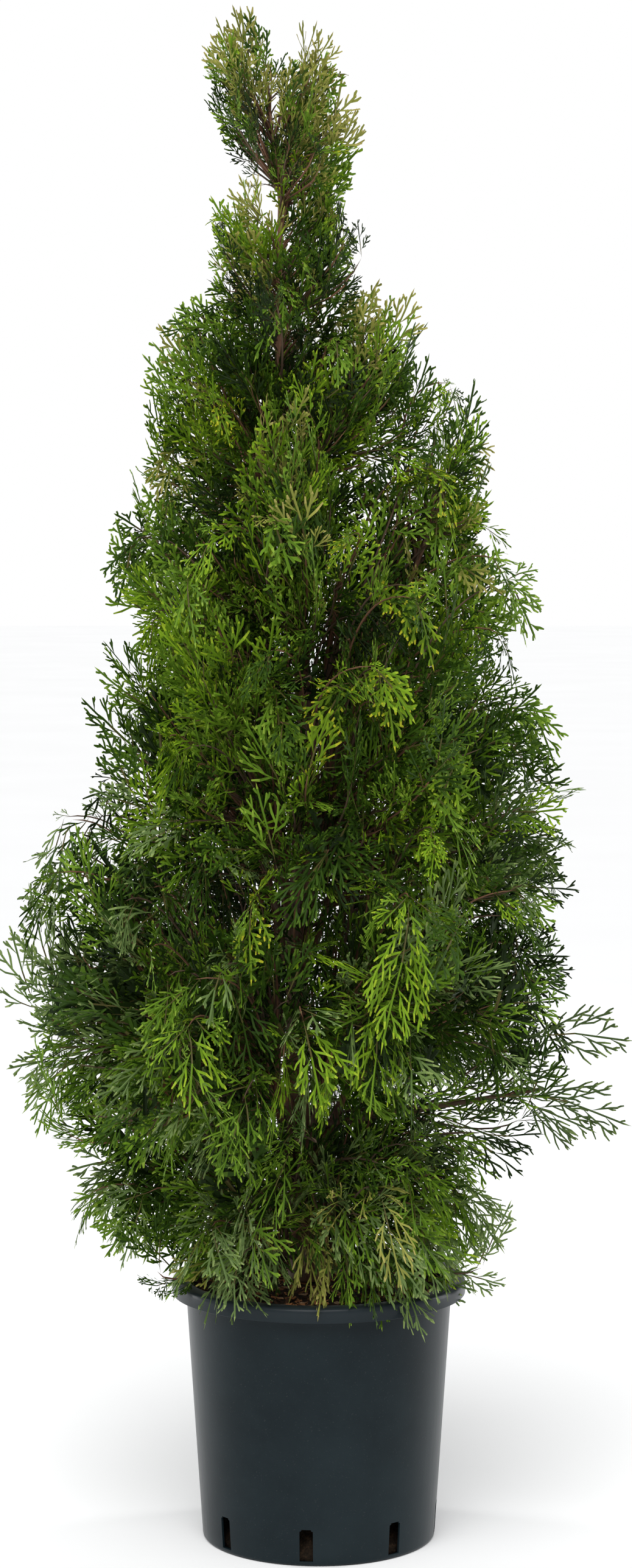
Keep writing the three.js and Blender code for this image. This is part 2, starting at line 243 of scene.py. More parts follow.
class Finish:
    """A node material: its tree, its shader, and calls that add nodes and link them."""

    def __init__(self, name, roughness, specular):
        self.material = bpy.data.materials.new(name)
        self.material.use_nodes = True
        self.tree = self.material.node_tree
        self.shader = self.tree.nodes["Principled BSDF"]
        self.shader.inputs["Roughness"].default_value = roughness
        self.shader.inputs["Specular IOR Level"].default_value = specular
        self.place = self.add("ShaderNodeTexCoord", {}).outputs["Object"]

    def add(self, kind, links, **values):
        """Adds a node, links its sockets, and sets its other sockets and settings."""
        node = self.tree.nodes.new(kind)
        for key, value in values.items():
            if key in node.inputs:
                node.inputs[key].default_value = value
            else:
                setattr(node, key, value)
        for socket, source in links.items():
            self.tree.links.new(source, node.inputs[socket])
        return node

    def noise(self, place, scale, detail, roughness=0.5):
        """The factor of a noise."""
        return self.add("ShaderNodeTexNoise", {"Vector": place}, Scale=scale, Detail=detail,
                        Roughness=roughness).outputs["Fac"]

    def stretched(self, height):
        """The place with its height scaled: below 1, a noise on it runs in upright streaks."""
        return self.add("ShaderNodeMapping", {"Vector": self.place}, Scale=(1, 1, height)).outputs["Vector"]

    def height(self):
        """The height above the floor."""
        return self.add("ShaderNodeSeparateXYZ", {"Vector": self.place}).outputs["Z"]

    def ramp(self, source, *stops):
        """A colour ramp on a factor: stops are (place, colour)."""
        node = self.add("ShaderNodeValToRGB", {"Fac": source})
        band = node.color_ramp
        while len(band.elements) < len(stops):
            band.elements.new(0.5)
        for element, (place, colour) in zip(band.elements, stops):
            element.position = place
            element.color = (*colour, 1)
        return node.outputs["Color"]

    def mix(self, factor, first, second):
        """Two colours mixed by a factor. The second may be one even colour."""
        node = self.add("ShaderNodeMix", {}, data_type="RGBA")
        for socket, value in (("Factor", factor), ("A", first), ("B", second)):
            if isinstance(value, tuple):
                node.inputs[socket].default_value = (*value, 1)
            else:
                self.tree.links.new(value, node.inputs[socket])
        return node.outputs["Result"]

    def mapped(self, source, **limits):
        """A factor, from one range to another."""
        return self.add("ShaderNodeMapRange", {"Value": source}, **limits).outputs["Result"]

    def use(self, socket, source):
        """Links an output to the shader."""
        self.tree.links.new(source, self.shader.inputs[socket])

    def bump(self, height, strength, distance):
        """Small relief from a factor."""
        node = self.add("ShaderNodeBump", {"Height": height}, Strength=strength, Distance=distance)
        self.use("Normal", node.outputs["Normal"])


# Leaf colours by family: the body of a branchlet, its lighter faces and its growing tip. The shade and deep
# families also serve as painted shade, dealt to sprays deep in the crown and on its less lit side.
LEAF_FAMILIES = {
    "shade": [(0.009, 0.020, 0.003), (0.014, 0.031, 0.004), (0.019, 0.040, 0.005)],
    "deep": [(0.021, 0.051, 0.003), (0.037, 0.083, 0.005), (0.066, 0.128, 0.009)],
    "mid": [(0.080, 0.158, 0.009), (0.122, 0.226, 0.014), (0.208, 0.316, 0.032)],
    "fresh": [(0.110, 0.206, 0.007), (0.166, 0.288, 0.010), (0.272, 0.380, 0.020)],
    "yellow": [(0.106, 0.186, 0.006), (0.160, 0.252, 0.008), (0.350, 0.360, 0.018)],
    "grey": [(0.098, 0.155, 0.043), (0.146, 0.216, 0.063), (0.220, 0.292, 0.094)],
    "slate": [(0.048, 0.080, 0.022), (0.072, 0.112, 0.030), (0.118, 0.168, 0.048)],
    "olive": [(0.205, 0.218, 0.042), (0.275, 0.280, 0.056), (0.350, 0.310, 0.090)],
    "dead": [(0.090, 0.040, 0.016), (0.125, 0.058, 0.022), (0.165, 0.082, 0.032)],
}
TONES = ("body", "light", "tip")
FAMILIES = list(LEAF_FAMILIES)


def leaf_materials():
    """Every leaf colour and the stem colour, in the order of their numbers on the pieces."""
    made = [plain(f"leaf_{family}_{tone}", colour) for family, colours in LEAF_FAMILIES.items()
            for tone, colour in zip(TONES, colours)]
    return made + [plain("leaf_stem", (0.085, 0.075, 0.022))]


STEM = len(LEAF_FAMILIES) * len(TONES)


def bark_material():
    """Fibrous red-brown bark with grey weathering in long streaks, lighter and redder with height."""
    finish = Finish("bark", 0.85, 0.2)
    streaks = finish.noise(finish.stretched(0.12), 260, 5, 0.65)
    patches = finish.noise(finish.place, 28, 3)
    brown = finish.ramp(streaks, (0.3, (0.038, 0.020, 0.012)), (0.52, (0.112, 0.058, 0.032)),
                        (0.72, (0.220, 0.145, 0.098)))
    grey = finish.ramp(streaks, (0.3, (0.060, 0.050, 0.040)), (0.7, (0.250, 0.220, 0.180)))
    weathered = finish.mix(finish.ramp(patches, (0.48, (0, 0, 0)), (0.66, (0.7, 0.7, 0.7))), brown, grey)
    reddish = finish.ramp(streaks, (0.3, (0.120, 0.058, 0.034)), (0.7, (0.340, 0.185, 0.115)))
    young = finish.mapped(finish.height(), **{"From Min": 0.75, "From Max": 1.30})
    finish.use("Base Color", finish.mix(young, weathered, reddish))
    finish.bump(streaks, 0.6, 0.0012)
    return finish.material


def pot_material():
    """Dark satin plastic with a faint mottle, fine scratches, specks of dust, and a paler lip that is a
    painted highlight.
    """
    finish = Finish("pot_plastic", 0.4, 0.14)
    mottle = finish.noise(finish.place, 7, 5, 0.65)
    specks = finish.noise(finish.place, 620, 2)
    scratches = finish.noise(finish.stretched(0.05), 340, 3)
    base = finish.ramp(mottle, (0.35, (0.0048, 0.0104, 0.0134)), (0.65, (0.0094, 0.0176, 0.0214)))
    dust = finish.ramp(specks, (0.66, (0, 0, 0)), (0.74, (0.5, 0.5, 0.5)))
    dusty = finish.mix(dust, base, (0.04, 0.045, 0.045))
    # The lip's outer face is painted paler: a painted highlight along the lip.
    painted_lip_highlight = finish.ramp(finish.height(), (0.246, (0, 0, 0)), (0.262, (0.7, 0.7, 0.7)))
    finish.use("Base Color", finish.mix(painted_lip_highlight, dusty, (0.020, 0.026, 0.030)))
    finish.use("Roughness", finish.mapped(scratches, **{"To Min": 0.25, "To Max": 0.38}))
    finish.bump(specks, 0.12, 0.0003)
    return finish.material


def soil_material():
    """Dark peat with lighter fibres."""
    finish = Finish("growing_medium", 0.95, 0.15)
    grains = finish.noise(finish.place, 240, 6, 0.7)
    finish.use("Base Color", finish.ramp(grains, (0.35, (0.008, 0.006, 0.004)), (0.55, (0.028, 0.018, 0.011)),
                                         (0.72, (0.080, 0.048, 0.027))))
    finish.bump(grains, 0.8, 0.002)
    return finish.material


def floor_material():
    """Pale studio floor."""
    finish = Finish("floor", 0.7, 0.2)
    cloud = finish.noise(finish.place, 1.5, 2)
    finish.use("Base Color", finish.ramp(cloud, (0.3, (0.92, 0.92, 0.92)), (0.7, (0.94, 0.94, 0.94))))
    return finish.material


# ---------------------------------------------------------------- meshes from arrays


def linked(name, data):
    """A new object in the scene."""
    made = bpy.data.objects.new(name, data)
    bpy.context.scene.collection.objects.link(made)
    return made


def mesh_object(name, points, faces, materials, numbers=None, smooth=False):
    """An object from arrays of points and triangles or quads, with a material number for each face."""
    mesh = bpy.data.meshes.new(name)
    points = np.asarray(points, np.float32)
    faces = np.asarray(faces, np.int32)
    corners = faces.shape[1]
    mesh.vertices.add(len(points))
    mesh.vertices.foreach_set("co", points.ravel())
    mesh.loops.add(faces.size)
    mesh.loops.foreach_set("vertex_index", faces.ravel())
    mesh.polygons.add(len(faces))
    mesh.polygons.foreach_set("loop_start", np.arange(0, faces.size, corners, dtype=np.int32))
    for material in materials:
        mesh.materials.append(material)
    if numbers is not None:
        mesh.polygons.foreach_set("material_index", np.asarray(numbers, np.int32))
    mesh.polygons.foreach_set("use_smooth", np.full(len(faces), smooth))
    mesh.update(calc_edges=True)
    mesh.validate()
    return linked(name, mesh)


class Pile:
    """Many small meshes that end up joined in one piece."""

    def __init__(self):
        self.points, self.faces, self.numbers, self.count = [], [], [], 0

    def add(self, points, faces, numbers):
        self.points.append(points)
        self.faces.append(faces + self.count)
        self.numbers.append(np.broadcast_to(numbers, len(faces)))
        self.count += len(points)

    def joined(self):
        """All the points, faces and material numbers."""
        return [np.concatenate(rows) for rows in (self.points, self.faces, self.numbers)]

    def make(self, name, materials, smooth=False):
        """Makes the piece."""
        points, faces, numbers = self.joined()
        return mesh_object(name, points, faces, materials, numbers, smooth)


def between_rings(rings, sides):
    """The triangles between rings of points that follow each other."""
    faces = []
    for r in range(rings - 1):
        for k in range(sides):
            a, b = r * sides + k, r * sides + (k + 1) % sides
            faces += [(a, b, b + sides), (a, b + sides, a + sides)]
    return faces


def tube(path, radii, sides):
    """A tapering twig along a path, its end brought to a point: points and triangles."""
    path = np.asarray(path, float)
    steps = np.gradient(path, axis=0)
    side = across(np.array([0.31, 0.57, 0.76]), unit(steps[0]))
    points = []
    for centre, along, radius in zip(path[:-1], steps[:-1], radii):
        along = unit(along)
        side = across(side, along)
        other = np.cross(along, side)
        for angle in turns(sides):
            points.append(centre + radius * (side * math.cos(angle) + other * math.sin(angle)))
    points.append(path[-1])
    rings = len(path) - 1
    last = (rings - 1) * sides
    faces = between_rings(rings, sides)
    faces += [(last + k, last + (k + 1) % sides, rings * sides) for k in range(sides)]
    return np.array(points), np.array(faces)


# ---------------------------------------------------------------- what the CAD model says


def node_arrays(name):
    """A CAD node's points and triangles."""
    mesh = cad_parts[name].data
    points = np.empty(len(mesh.vertices) * 3)
    mesh.vertices.foreach_get("co", points)
    mesh.calc_loop_triangles()
    faces = np.empty(len(mesh.loop_triangles) * 3, np.int32)
    mesh.loop_triangles.foreach_get("vertices", faces)
    return points.reshape(-1, 3), faces.reshape(-1, 3)


MASSES = sorted(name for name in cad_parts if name.startswith("foliage_"))
BOUGHS = sorted(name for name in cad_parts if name.startswith("bough_"))


class Solids:
    """Several CAD nodes taken as one, to ask how far a point stands outside them."""

    def __init__(self, names):
        pile = Pile()
        for name in names:
            pile.add(*node_arrays(name), 0)
        points, faces, _ = pile.joined()
        self.tree = BVHTree.FromPolygons(points.tolist(), faces.tolist())

    def outside(self, point):
        """Distance outside the solids, negative inside."""
        hit, normal, _, distance = self.tree.find_nearest(Vector(point))
        return distance if (Vector(point) - hit).dot(normal) > 0 else -distance


TRUNK_CUTS = 120
BOUGH_END = 0.006           # a bough's end is the middle of its points within this distance


def trunk_line():
    """The trunk's middle and mean radius at even heights, cut from the CAD trunk."""
    points, faces = node_arrays("trunk")
    low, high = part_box("trunk")
    edges = np.concatenate([faces[:, [0, 1]], faces[:, [1, 2]], faces[:, [2, 0]]])
    rows = []
    for z in np.linspace(low.z + MM, high.z - MM, TRUNK_CUTS):
        a, b = points[edges[:, 0]], points[edges[:, 1]]
        crossing = (a[:, 2] - z) * (b[:, 2] - z) < 0
        a, b = a[crossing], b[crossing]
        t = (z - a[:, 2]) / (b[:, 2] - a[:, 2])
        cut = a + (b - a) * t[:, None]
        middle = (cut.min(axis=0) + cut.max(axis=0)) / 2
        radius = np.linalg.norm(cut[:, :2] - middle[:2], axis=1).mean()
        rows.append((*middle[:2], z, radius))
    return np.array(rows)


TRUNK = trunk_line()
WOOD = Solids(["trunk"])


def trunk_at(z):
    """The middle of the trunk at a height."""
    return np.array([np.interp(z, TRUNK[:, 2], TRUNK[:, 0]), np.interp(z, TRUNK[:, 2], TRUNK[:, 1]), z])


def outwards(point):
    """The level direction from the trunk to a point."""
    away = np.asarray(point) - trunk_at(point[2])
    away[2] = 0
    return unit(away)


class Crown:
    """The space that the sprays fill: the CAD masses, with the grooves between neighbours bridged."""

    STEP = 0.02
    TURNS = 72
    BRIDGE = 4          # turns to either side that a groove is bridged over
    TAUT = 0.97         # how much of its neighbours' reach a bridged groove gets
    GROOVE = 0.02       # the least depth of a groove
    NEAR = (-3, -1, 1, 3)   # levels up and down that count for the typical outline
    LOW, HIGH, FAR = 0.2, 1.58, 0.6

    def __init__(self):
        self.masses = Solids(MASSES)
        self.heights = np.arange(self.LOW, self.HIGH, self.STEP)
        self.skin = np.zeros((len(self.heights), self.TURNS))
        for i, z in enumerate(self.heights):
            axis = Vector(trunk_at(z))
            for k, angle in enumerate(turns(self.TURNS)):
                ray = Vector(level(angle))
                hit = self.masses.tree.ray_cast(axis + self.FAR * ray, -ray, self.FAR)
                self.skin[i, k] = 0 if hit[0] is None else self.FAR - hit[3]
        turned_skins = [np.roll(self.skin, k, axis=1) for k in range(-self.BRIDGE, self.BRIDGE + 1)]
        left = np.max(turned_skins[: self.BRIDGE + 1], axis=0)
        right = np.max(turned_skins[self.BRIDGE:], axis=0)
        self.bridged = self.TAUT * np.minimum(left, right)
        rows = np.arange(len(self.heights))
        near = [np.roll(self.bridged, k, axis=1)[np.clip(rows + n, 0, len(rows) - 1)]
                for k in range(-self.BRIDGE, self.BRIDGE + 1) for n in self.NEAR]
        self.typical = np.mean(near, axis=0)

    def cell(self, point):
        """The grid cell that a point lies over, and its distance from the trunk's axis."""
        away = np.asarray(point) - trunk_at(point[2])
        turn = round(math.atan2(away[1], away[0]) / (2 * math.pi) * self.TURNS) % self.TURNS
        row = int(np.clip(round((point[2] - self.LOW) / self.STEP), 0, len(self.heights) - 1))
        return row, turn, math.hypot(away[0], away[1])

    def outside(self, point):
        """How far a point stands outside the crown, negative inside."""
        gap = self.masses.outside(point)
        if gap <= 0:
            return gap
        row, turn, far = self.cell(point)
        return min(gap, far - self.bridged[row, turn])

    def prominence(self, point):
        """How far a point stands out of the crown's typical outline around it."""
        row, turn, far = self.cell(point)
        return far - self.typical[row, turn]

    def grooves(self):
        """Points over the grooves, in level and turn order."""
        for i, z in enumerate(self.heights):
            for k, angle in enumerate(turns(self.TURNS)):
                if self.bridged[i, k] - self.skin[i, k] > self.GROOVE:
                    yield trunk_at(z) + self.bridged[i, k] * level(angle)


CROWN = Crown()


def bough_line(name):
    """A bough's two ends, the one at the trunk first."""
    points, _ = node_arrays(name)
    middle = points.mean(axis=0)
    _, _, axes = np.linalg.svd(points - middle)
    along = (points - middle) @ axes[0]
    ends = [points[along < along.min() + BOUGH_END].mean(axis=0),
            points[along > along.max() - BOUGH_END].mean(axis=0)]
    ends.sort(key=lambda end: np.linalg.norm((end - trunk_at(end[2]))[:2]))
    return ends


# ---------------------------------------------------------------- one flat spray


def strip(path, widths, ridge, tilt, tones):
    """A scaly branchlet: a narrow roof along a path in the spray's plane, pointed at both ends.

    The path has one row (x, y, z) for each point; widths are the half widths at its inner points."""
    path = np.asarray(path, float)
    steps = np.gradient(path, axis=0)
    count = len(path)
    points, faces, numbers = [path[0]], [], []
    for i in range(1, count - 1):
        along = unit(steps[i])
        side = unit(leftwards(along))
        half = widths[i - 1]
        lift = np.array([0, 0, half * tilt])
        points += [path[i] + side * half + lift, path[i] + np.array([0, 0, half * ridge]),
                   path[i] - side * half - lift]
    points.append(path[-1])
    faces += [(0, 2, 1), (0, 3, 2)]
    numbers += [tones[0]] * 2
    for i in range(count - 3):
        a = 1 + 3 * i
        b = a + 3
        faces += [(a, a + 1, b + 1), (a, b + 1, b), (a + 1, a + 2, b + 2), (a + 1, b + 2, b + 1)]
        tone = tones[min(1 + i, len(tones) - 2)]
        numbers += [tone] * 4
    a = 1 + 3 * (count - 3)
    last = len(points) - 1
    faces += [(a, a + 1, last), (a + 1, a + 2, last)]
    numbers += [tones[-1]] * 2
    return np.array(points), np.array(faces), np.array(numbers)


def finger(start, turn, rise, size, bend, half, tilt, tones):
    """A small flat branchlet with a blunt end, grown from start at an angle in the spray's plane and bent."""
    first = np.array([math.cos(turn), math.sin(turn), rise])
    later = np.array([math.cos(turn + bend), math.sin(turn + bend), rise])
    middle = start + first * size * 0.58
    end = middle + later * size * 0.42
    across_first = leftwards(first) * half
    across_later = leftwards(later) * half
    lift = np.array([0, 0, half * tilt])
    points = np.array([start + across_first * 0.8, start - across_first * 0.8, middle - across_first - lift,
                       middle + across_first + lift, end - across_later * 0.62, end + across_later * 0.62])
    faces = np.array([(0, 1, 2), (0, 2, 3), (3, 2, 4), (3, 4, 5)])
    return points, faces, np.array([tones[0], tones[0], tones[1], tones[1]])


BODY, LIGHT, TIP, STALK = 0, 1, 2, 3

# Sizes in millimetres and angles in degrees. step and gap: between laterals on the axis, and between
# fingers on a lateral, each to alternate sides; share: a lateral over the length of axis beyond it;
# finger: the longest finger; half: half a branchlet's width; open and spread: angles off the axis and off
# a lateral.
SPRAY_KINDS = {
    "fan": {"step": 11.0, "share": 0.74, "gap": 6.2, "finger": 16, "half": 1.15, "open": 33, "spread": 27},
    "feather": {"step": 8.6, "share": 0.60, "gap": 4.6, "finger": 9, "half": 1.25, "open": 39, "spread": 37},
    "sparse": {"step": 13.0, "share": 0.75, "gap": 8.0, "finger": 20, "half": 1.05, "open": 31, "spread": 26},
    "core": {"step": 13.0, "share": 0.60, "gap": 9.0, "finger": 22, "half": 2.6, "open": 38, "spread": 32},
}
STOCK_LENGTHS = (56, 70, 85, 100, 118, 140)
STOCK_EACH = 3              # sprays of each kind and length


def spray_shape(kind, length, dice):
    """One flat spray growing along +X in the XY plane, facing +Z: points, triangles and tones."""
    form = SPRAY_KINDS[kind]
    half = form["half"] * MM
    gap = form["gap"] * MM
    pile = Pile()
    wave = dice.uniform(-0.05, 0.05)

    def axis_point(t):
        return np.array([t * length, wave * length * math.sin(1.5 * math.pi * t), 0.0])

    joints = [axis_point(t) for t in (0, 0.2, 0.45, 0.7, 0.93, 1)]
    widths = [half * w for w in (0.6, 0.75, 0.95, 0.95)]
    pile.add(*strip(joints, widths, 0.6, dice.uniform(-0.2, 0.2), [STALK, STALK, BODY, BODY, LIGHT, TIP]))

    side = dice.choice([-1, 1])
    place = length * 0.06 + 3 * MM
    while place < length - 4 * MM:
        t = place / length
        reach = form["share"] * length * min(1.0, 0.6 + t / 0.25) * (0.98 - t)
        reach = max(reach * dice.uniform(0.85, 1.12), 7 * MM)
        heading = side * math.radians(form["open"] + dice.uniform(-6, 7))
        curl = -side * math.radians(dice.uniform(8, 18))
        stops = (0, 0.35, 0.70, 0.94, 1) if reach > 20 * MM else (0, 0.5, 0.92, 1)
        path = [axis_point(t)]
        rise = dice.uniform(-0.28, 0.28)
        for before, after in zip(stops, stops[1:]):
            now = heading + curl * (before + after) / 2
            path.append(path[-1] + (after - before) * reach * np.array([math.cos(now), math.sin(now), rise]))
        path = np.array(path)
        tone = LIGHT if dice.random() < 0.35 else BODY
        widths = [half * w for w in np.linspace(0.8, 0.98, len(stops) - 2)]
        pile.add(*strip(path, widths, dice.uniform(0.4, 0.75), dice.uniform(-0.4, 0.4),
                        [BODY, tone, tone, tone, LIGHT if dice.random() < 0.5 else TIP]))
        lengths = np.array(stops) * reach
        finger_side = side
        where = gap * dice.uniform(1.0, 1.5)
        while where < reach - 2.5 * MM:
            start = point_along(path, lengths, where)
            size = min(form["finger"] * MM, 0.55 * (reach - where) + 5 * MM) * dice.uniform(0.7, 1.25)
            turn = (heading + curl * where / reach
                    + finger_side * math.radians(form["spread"] + dice.uniform(-6, 10)))
            bend = -finger_side * math.radians(dice.uniform(4, 22))
            tone = LIGHT if dice.random() < 0.4 else BODY
            pile.add(*finger(start, turn, rise + dice.uniform(-0.16, 0.16), size, bend,
                             half * dice.uniform(0.88, 1.08), dice.uniform(-0.9, 0.9),
                             [tone, tone if dice.random() < 0.4 else TIP]))
            where += gap * dice.uniform(0.85, 1.15)
            finger_side = -finger_side
        place += form["step"] * MM * dice.uniform(0.82, 1.2)
        side = -side
    return pile.joined()


def spray_stock(dice):
    """A stock of sprays of each kind in several lengths, to be dealt out over the plant."""
    return {kind: [(size * MM, spray_shape(kind, size * MM, dice))
                   for size in STOCK_LENGTHS for _ in range(STOCK_EACH)] for kind in SPRAY_KINDS}


STOCK = spray_stock(np.random.default_rng(SEED + 1))


def placed(shape, size, base, along, facing, hang, cup, scale):
    """A spray set on the plant: grown from base along a direction, facing a normal, bent and cupped."""
    points = shape[0] * scale
    side = np.cross(facing, along)
    reach = np.clip(points[:, 0] / (size * scale), 0, 1.2)
    lift = points[:, 2] + cup * points[:, 1] ** 2 / (size * scale)
    moved = base + points[:, :1] * along + points[:, 1:2] * side + lift[:, None] * facing
    moved[:, 2] += hang * size * scale * reach ** 2
    return moved


# ---------------------------------------------------------------- growth


def drawn(odds):
    """A name drawn from a table of odds."""
    return rng.choice(list(odds), p=list(odds.values()))


def growing_direction(point, normal):
    """Where a tip on the outside of the crown points, and how much of that is up (+) or down (-)."""
    out = outwards(point)
    aside = np.cross(UP, out) * rng.normal(0, 0.4)
    if rng.random() < lookup(LYING, point[2]) * (0.35 + 0.65 * abs(normal[1])):
        pull = rng.uniform(0.9, 1.3) * (-1 if rng.random() < lookup(HANGING, point[2]) else 1)
        return unit(0.15 * normal + 0.3 * out + 1.2 * aside + (0, 0, pull)), pull
    pull = lookup(PULL, point[2]) + rng.normal(0, 0.2)
    return unit(0.5 * normal + 0.6 * out + aside + (0, 0, pull)), pull


def carrier_of(mass):
    """The line that a mass's twigs leave: its bough and the way that goes on inside it, or the trunk."""
    bough = mass.replace("foliage_", "bough_")
    low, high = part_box(mass)
    if bough not in BOUGHS:
        heights = np.linspace(low.z - 0.03, min(high.z - 0.03, TRUNK[-1, 2]), 24)
        return np.array([trunk_at(z) for z in heights]), False
    start, end = bough_line(bough)
    line = [start + (end - start) * t for t in np.linspace(0.35, 1, 8)]
    heading = unit(end - start)
    here = line[-1]
    for _ in range(CARRIER_STEPS):
        pull = lookup(PULL, here[2])
        heading = unit(heading + 0.10 * pull * UP + 0.03 * rng.normal(size=3))
        here = here + CARRIER_STEP * heading
        if CROWN.masses.outside(here) > -CARRIER_DEPTH:
            break
        line.append(here)
    return np.array(line), True


def targets_on(mass, taken):
    """Growing tips spread over the open side of a mass: rows of (point, normal)."""
    points, faces = node_arrays(mass)
    a, b, c = (points[faces[:, k]] for k in range(3))
    normals = np.cross(b - a, c - a)
    areas = np.linalg.norm(normals, axis=1) / 2
    normals /= np.maximum(2 * areas[:, None], 1e-12)
    tries = int(areas.sum() / AREA_PER_TRY)
    picks = rng.choice(len(faces), tries, p=areas / areas.sum())
    mix = rng.random((tries, 2))
    over = mix.sum(axis=1) > 1
    mix[over] = 1 - mix[over]
    spots = a[picks] + (b - a)[picks] * mix[:, :1] + (c - a)[picks] * mix[:, 1:]
    found = []
    for spot, normal in zip(spots, normals[picks]):
        dense = DENSE if CROWN.prominence(spot) > 0.004 else 1.0
        if np.dot(normal, outwards(spot)) < -0.35:
            continue
        if taken.crowded(spot, lookup(SPACING, spot[2]) * dense):
            continue
        if CROWN.masses.outside(spot + 0.022 * normal) < 0.012:
            continue
        taken.add(spot)
        found.append((spot, normal))
    return found


class Spots:
    """Places that are taken, to keep new ones apart from them."""

    def __init__(self):
        self.places = np.full((SPOTS_MAX, 3), 9.0)
        self.count = 0

    def crowded(self, spot, radius):
        gaps = self.places[: self.count] - spot
        return self.count > 0 and (gaps * gaps).sum(axis=1).min() < radius ** 2

    def add(self, spot):
        self.places[self.count] = spot
        self.count += 1


def curve(p0, p1, p2, p3, count):
    """Points along a cubic curve."""
    t = np.linspace(0, 1, count)[:, None]
    return (1 - t) ** 3 * p0 + 3 * (1 - t) ** 2 * t * p1 + 3 * (1 - t) * t ** 2 * p2 + t ** 3 * p3


def pick_family(point, depth):
    """The leaf colour of a twig, by where it grows: darker families, as painted shade, the deeper it sits and
    on the crown's less lit side.
    """
    x, _, z = point
    # Deeper below the crown's skin, darker families: painted shade.
    if depth > 0.045:
        odds = {"shade": 0.6, "deep": 0.4}
    elif depth > 0.020:
        odds = {"shade": 0.15, "deep": 0.55, "mid": 0.3}
    elif z > 1.40:
        odds = {"olive": 0.72, "mid": 0.08, "fresh": 0.20}
    elif z > 1.24:
        odds = {"olive": 0.30, "mid": 0.34, "fresh": 0.36}
    # From the waist up, the right side, away from the key light, and the middle of the waist draw more of the
    # deep family: painted shade.
    elif z > 0.95:
        odds = {"fresh": 0.32, "mid": 0.42, "olive": 0.06, "deep": 0.12 if x < 0.05 else 0.34}
    elif z > 0.66 and x < -0.07:
        odds = {"fresh": 0.36, "mid": 0.44, "grey": 0.12, "deep": 0.08}
    elif z > 0.66 and abs(x) < 0.12:
        odds = {"fresh": 0.16, "yellow": 0.02, "mid": 0.34, "deep": 0.48}
    elif z > 0.66:
        odds = {"mid": 0.36, "deep": 0.46, "grey": 0.14, "fresh": 0.04}
    elif z < 0.37 and abs(x) < 0.12:
        odds = {"mid": 0.34, "grey": 0.46, "olive": 0.12, "deep": 0.08}
    elif abs(x) < 0.15:
        odds = {"mid": 0.48, "fresh": 0.14, "grey": 0.32, "deep": 0.06}
    else:
        odds = {"grey": 0.52, "mid": 0.38, "deep": 0.10}
    return rng.choice(list(odds), p=np.array(list(odds.values())) / sum(odds.values()))


class Plant:
    """The leaves and twigs of every tier, kept in piles until they are made into pieces."""

    def __init__(self):
        self.leaves, self.twigs, self.middles = {}, {}, Spots()

    def spray(self, tier, kind, base, along, facing, length, family, hang, cup, most=SPRAY_REACH, room=1.0):
        """Sets one spray, shortened or left out where it would stand outside the crown."""
        stock = STOCK[kind]
        size, shape = stock[self.nearest(stock, length)]
        scale = length / size
        facing = across(facing, along)
        for _ in range(SHRINK_TRIES):
            moved = placed(shape, size, base, along, facing, hang, cup, scale)
            farthest = moved[np.argsort(moved @ along)[-1:]].tolist()
            over = max(CROWN.outside(p) for p in farthest + moved[::max(1, len(moved) // 9)].tolist())
            if over < most:
                break
            scale *= SHRINK
        else:
            if over > most + SHRINK_SLACK:
                return False
        middle = moved.mean(axis=0)
        room *= lookup(CLEARANCE, middle[2])
        if moved[:, 2].min() < LOWEST_LEAF or self.middles.crowded(middle, room):
            return False
        self.middles.add(middle)
        number = FAMILIES.index(family) * len(TONES)
        numbers = np.where(shape[2] == STALK, STEM, number + np.minimum(shape[2], TIP))
        self.leaves.setdefault(tier, []).append((moved, shape[1], numbers))
        return True

    @staticmethod
    def nearest(stock, length):
        """The number of a stocked spray of about this length."""
        gaps = np.array([abs(size - length) for size, _ in stock])
        return int(rng.choice(np.flatnonzero(gaps < gaps.min() + 1e-6)))

    def twig(self, tier, path, thickness, colour=OLD, sides=3):
        """Sets one woody twig: thickness is its radius at its root and at its end."""
        points, faces = tube(path, np.linspace(*thickness, len(path)), sides)
        self.twigs.setdefault(tier, Pile()).add(points, faces, colour)


def pocket(spot):
    """How much deeper the tips end here, in the pockets between plumes."""
    level = noise.noise(Vector([c / size for c, size in zip(spot, POCKET_SIZE)]))
    inner = float(np.interp(CROWN.prominence(spot), (0, 0.03), (1, 0)))
    return POCKET_DEPTH * inner * float(np.interp(level, POCKET_EDGE, (0, 1)))


def dent(spot):
    """How much deeper the tips end here (or, below nought, how much farther out), on the crown's sides."""
    sideways = outwards(spot)[0]
    deeper = 0.0
    for side, middle, half, depth in DENTS:
        deeper += (depth * max(0.0, 1 - abs(spot[2] - middle) / half)
                   * float(np.clip(2 * side * sideways - 0.4, 0, 1)))
    return deeper


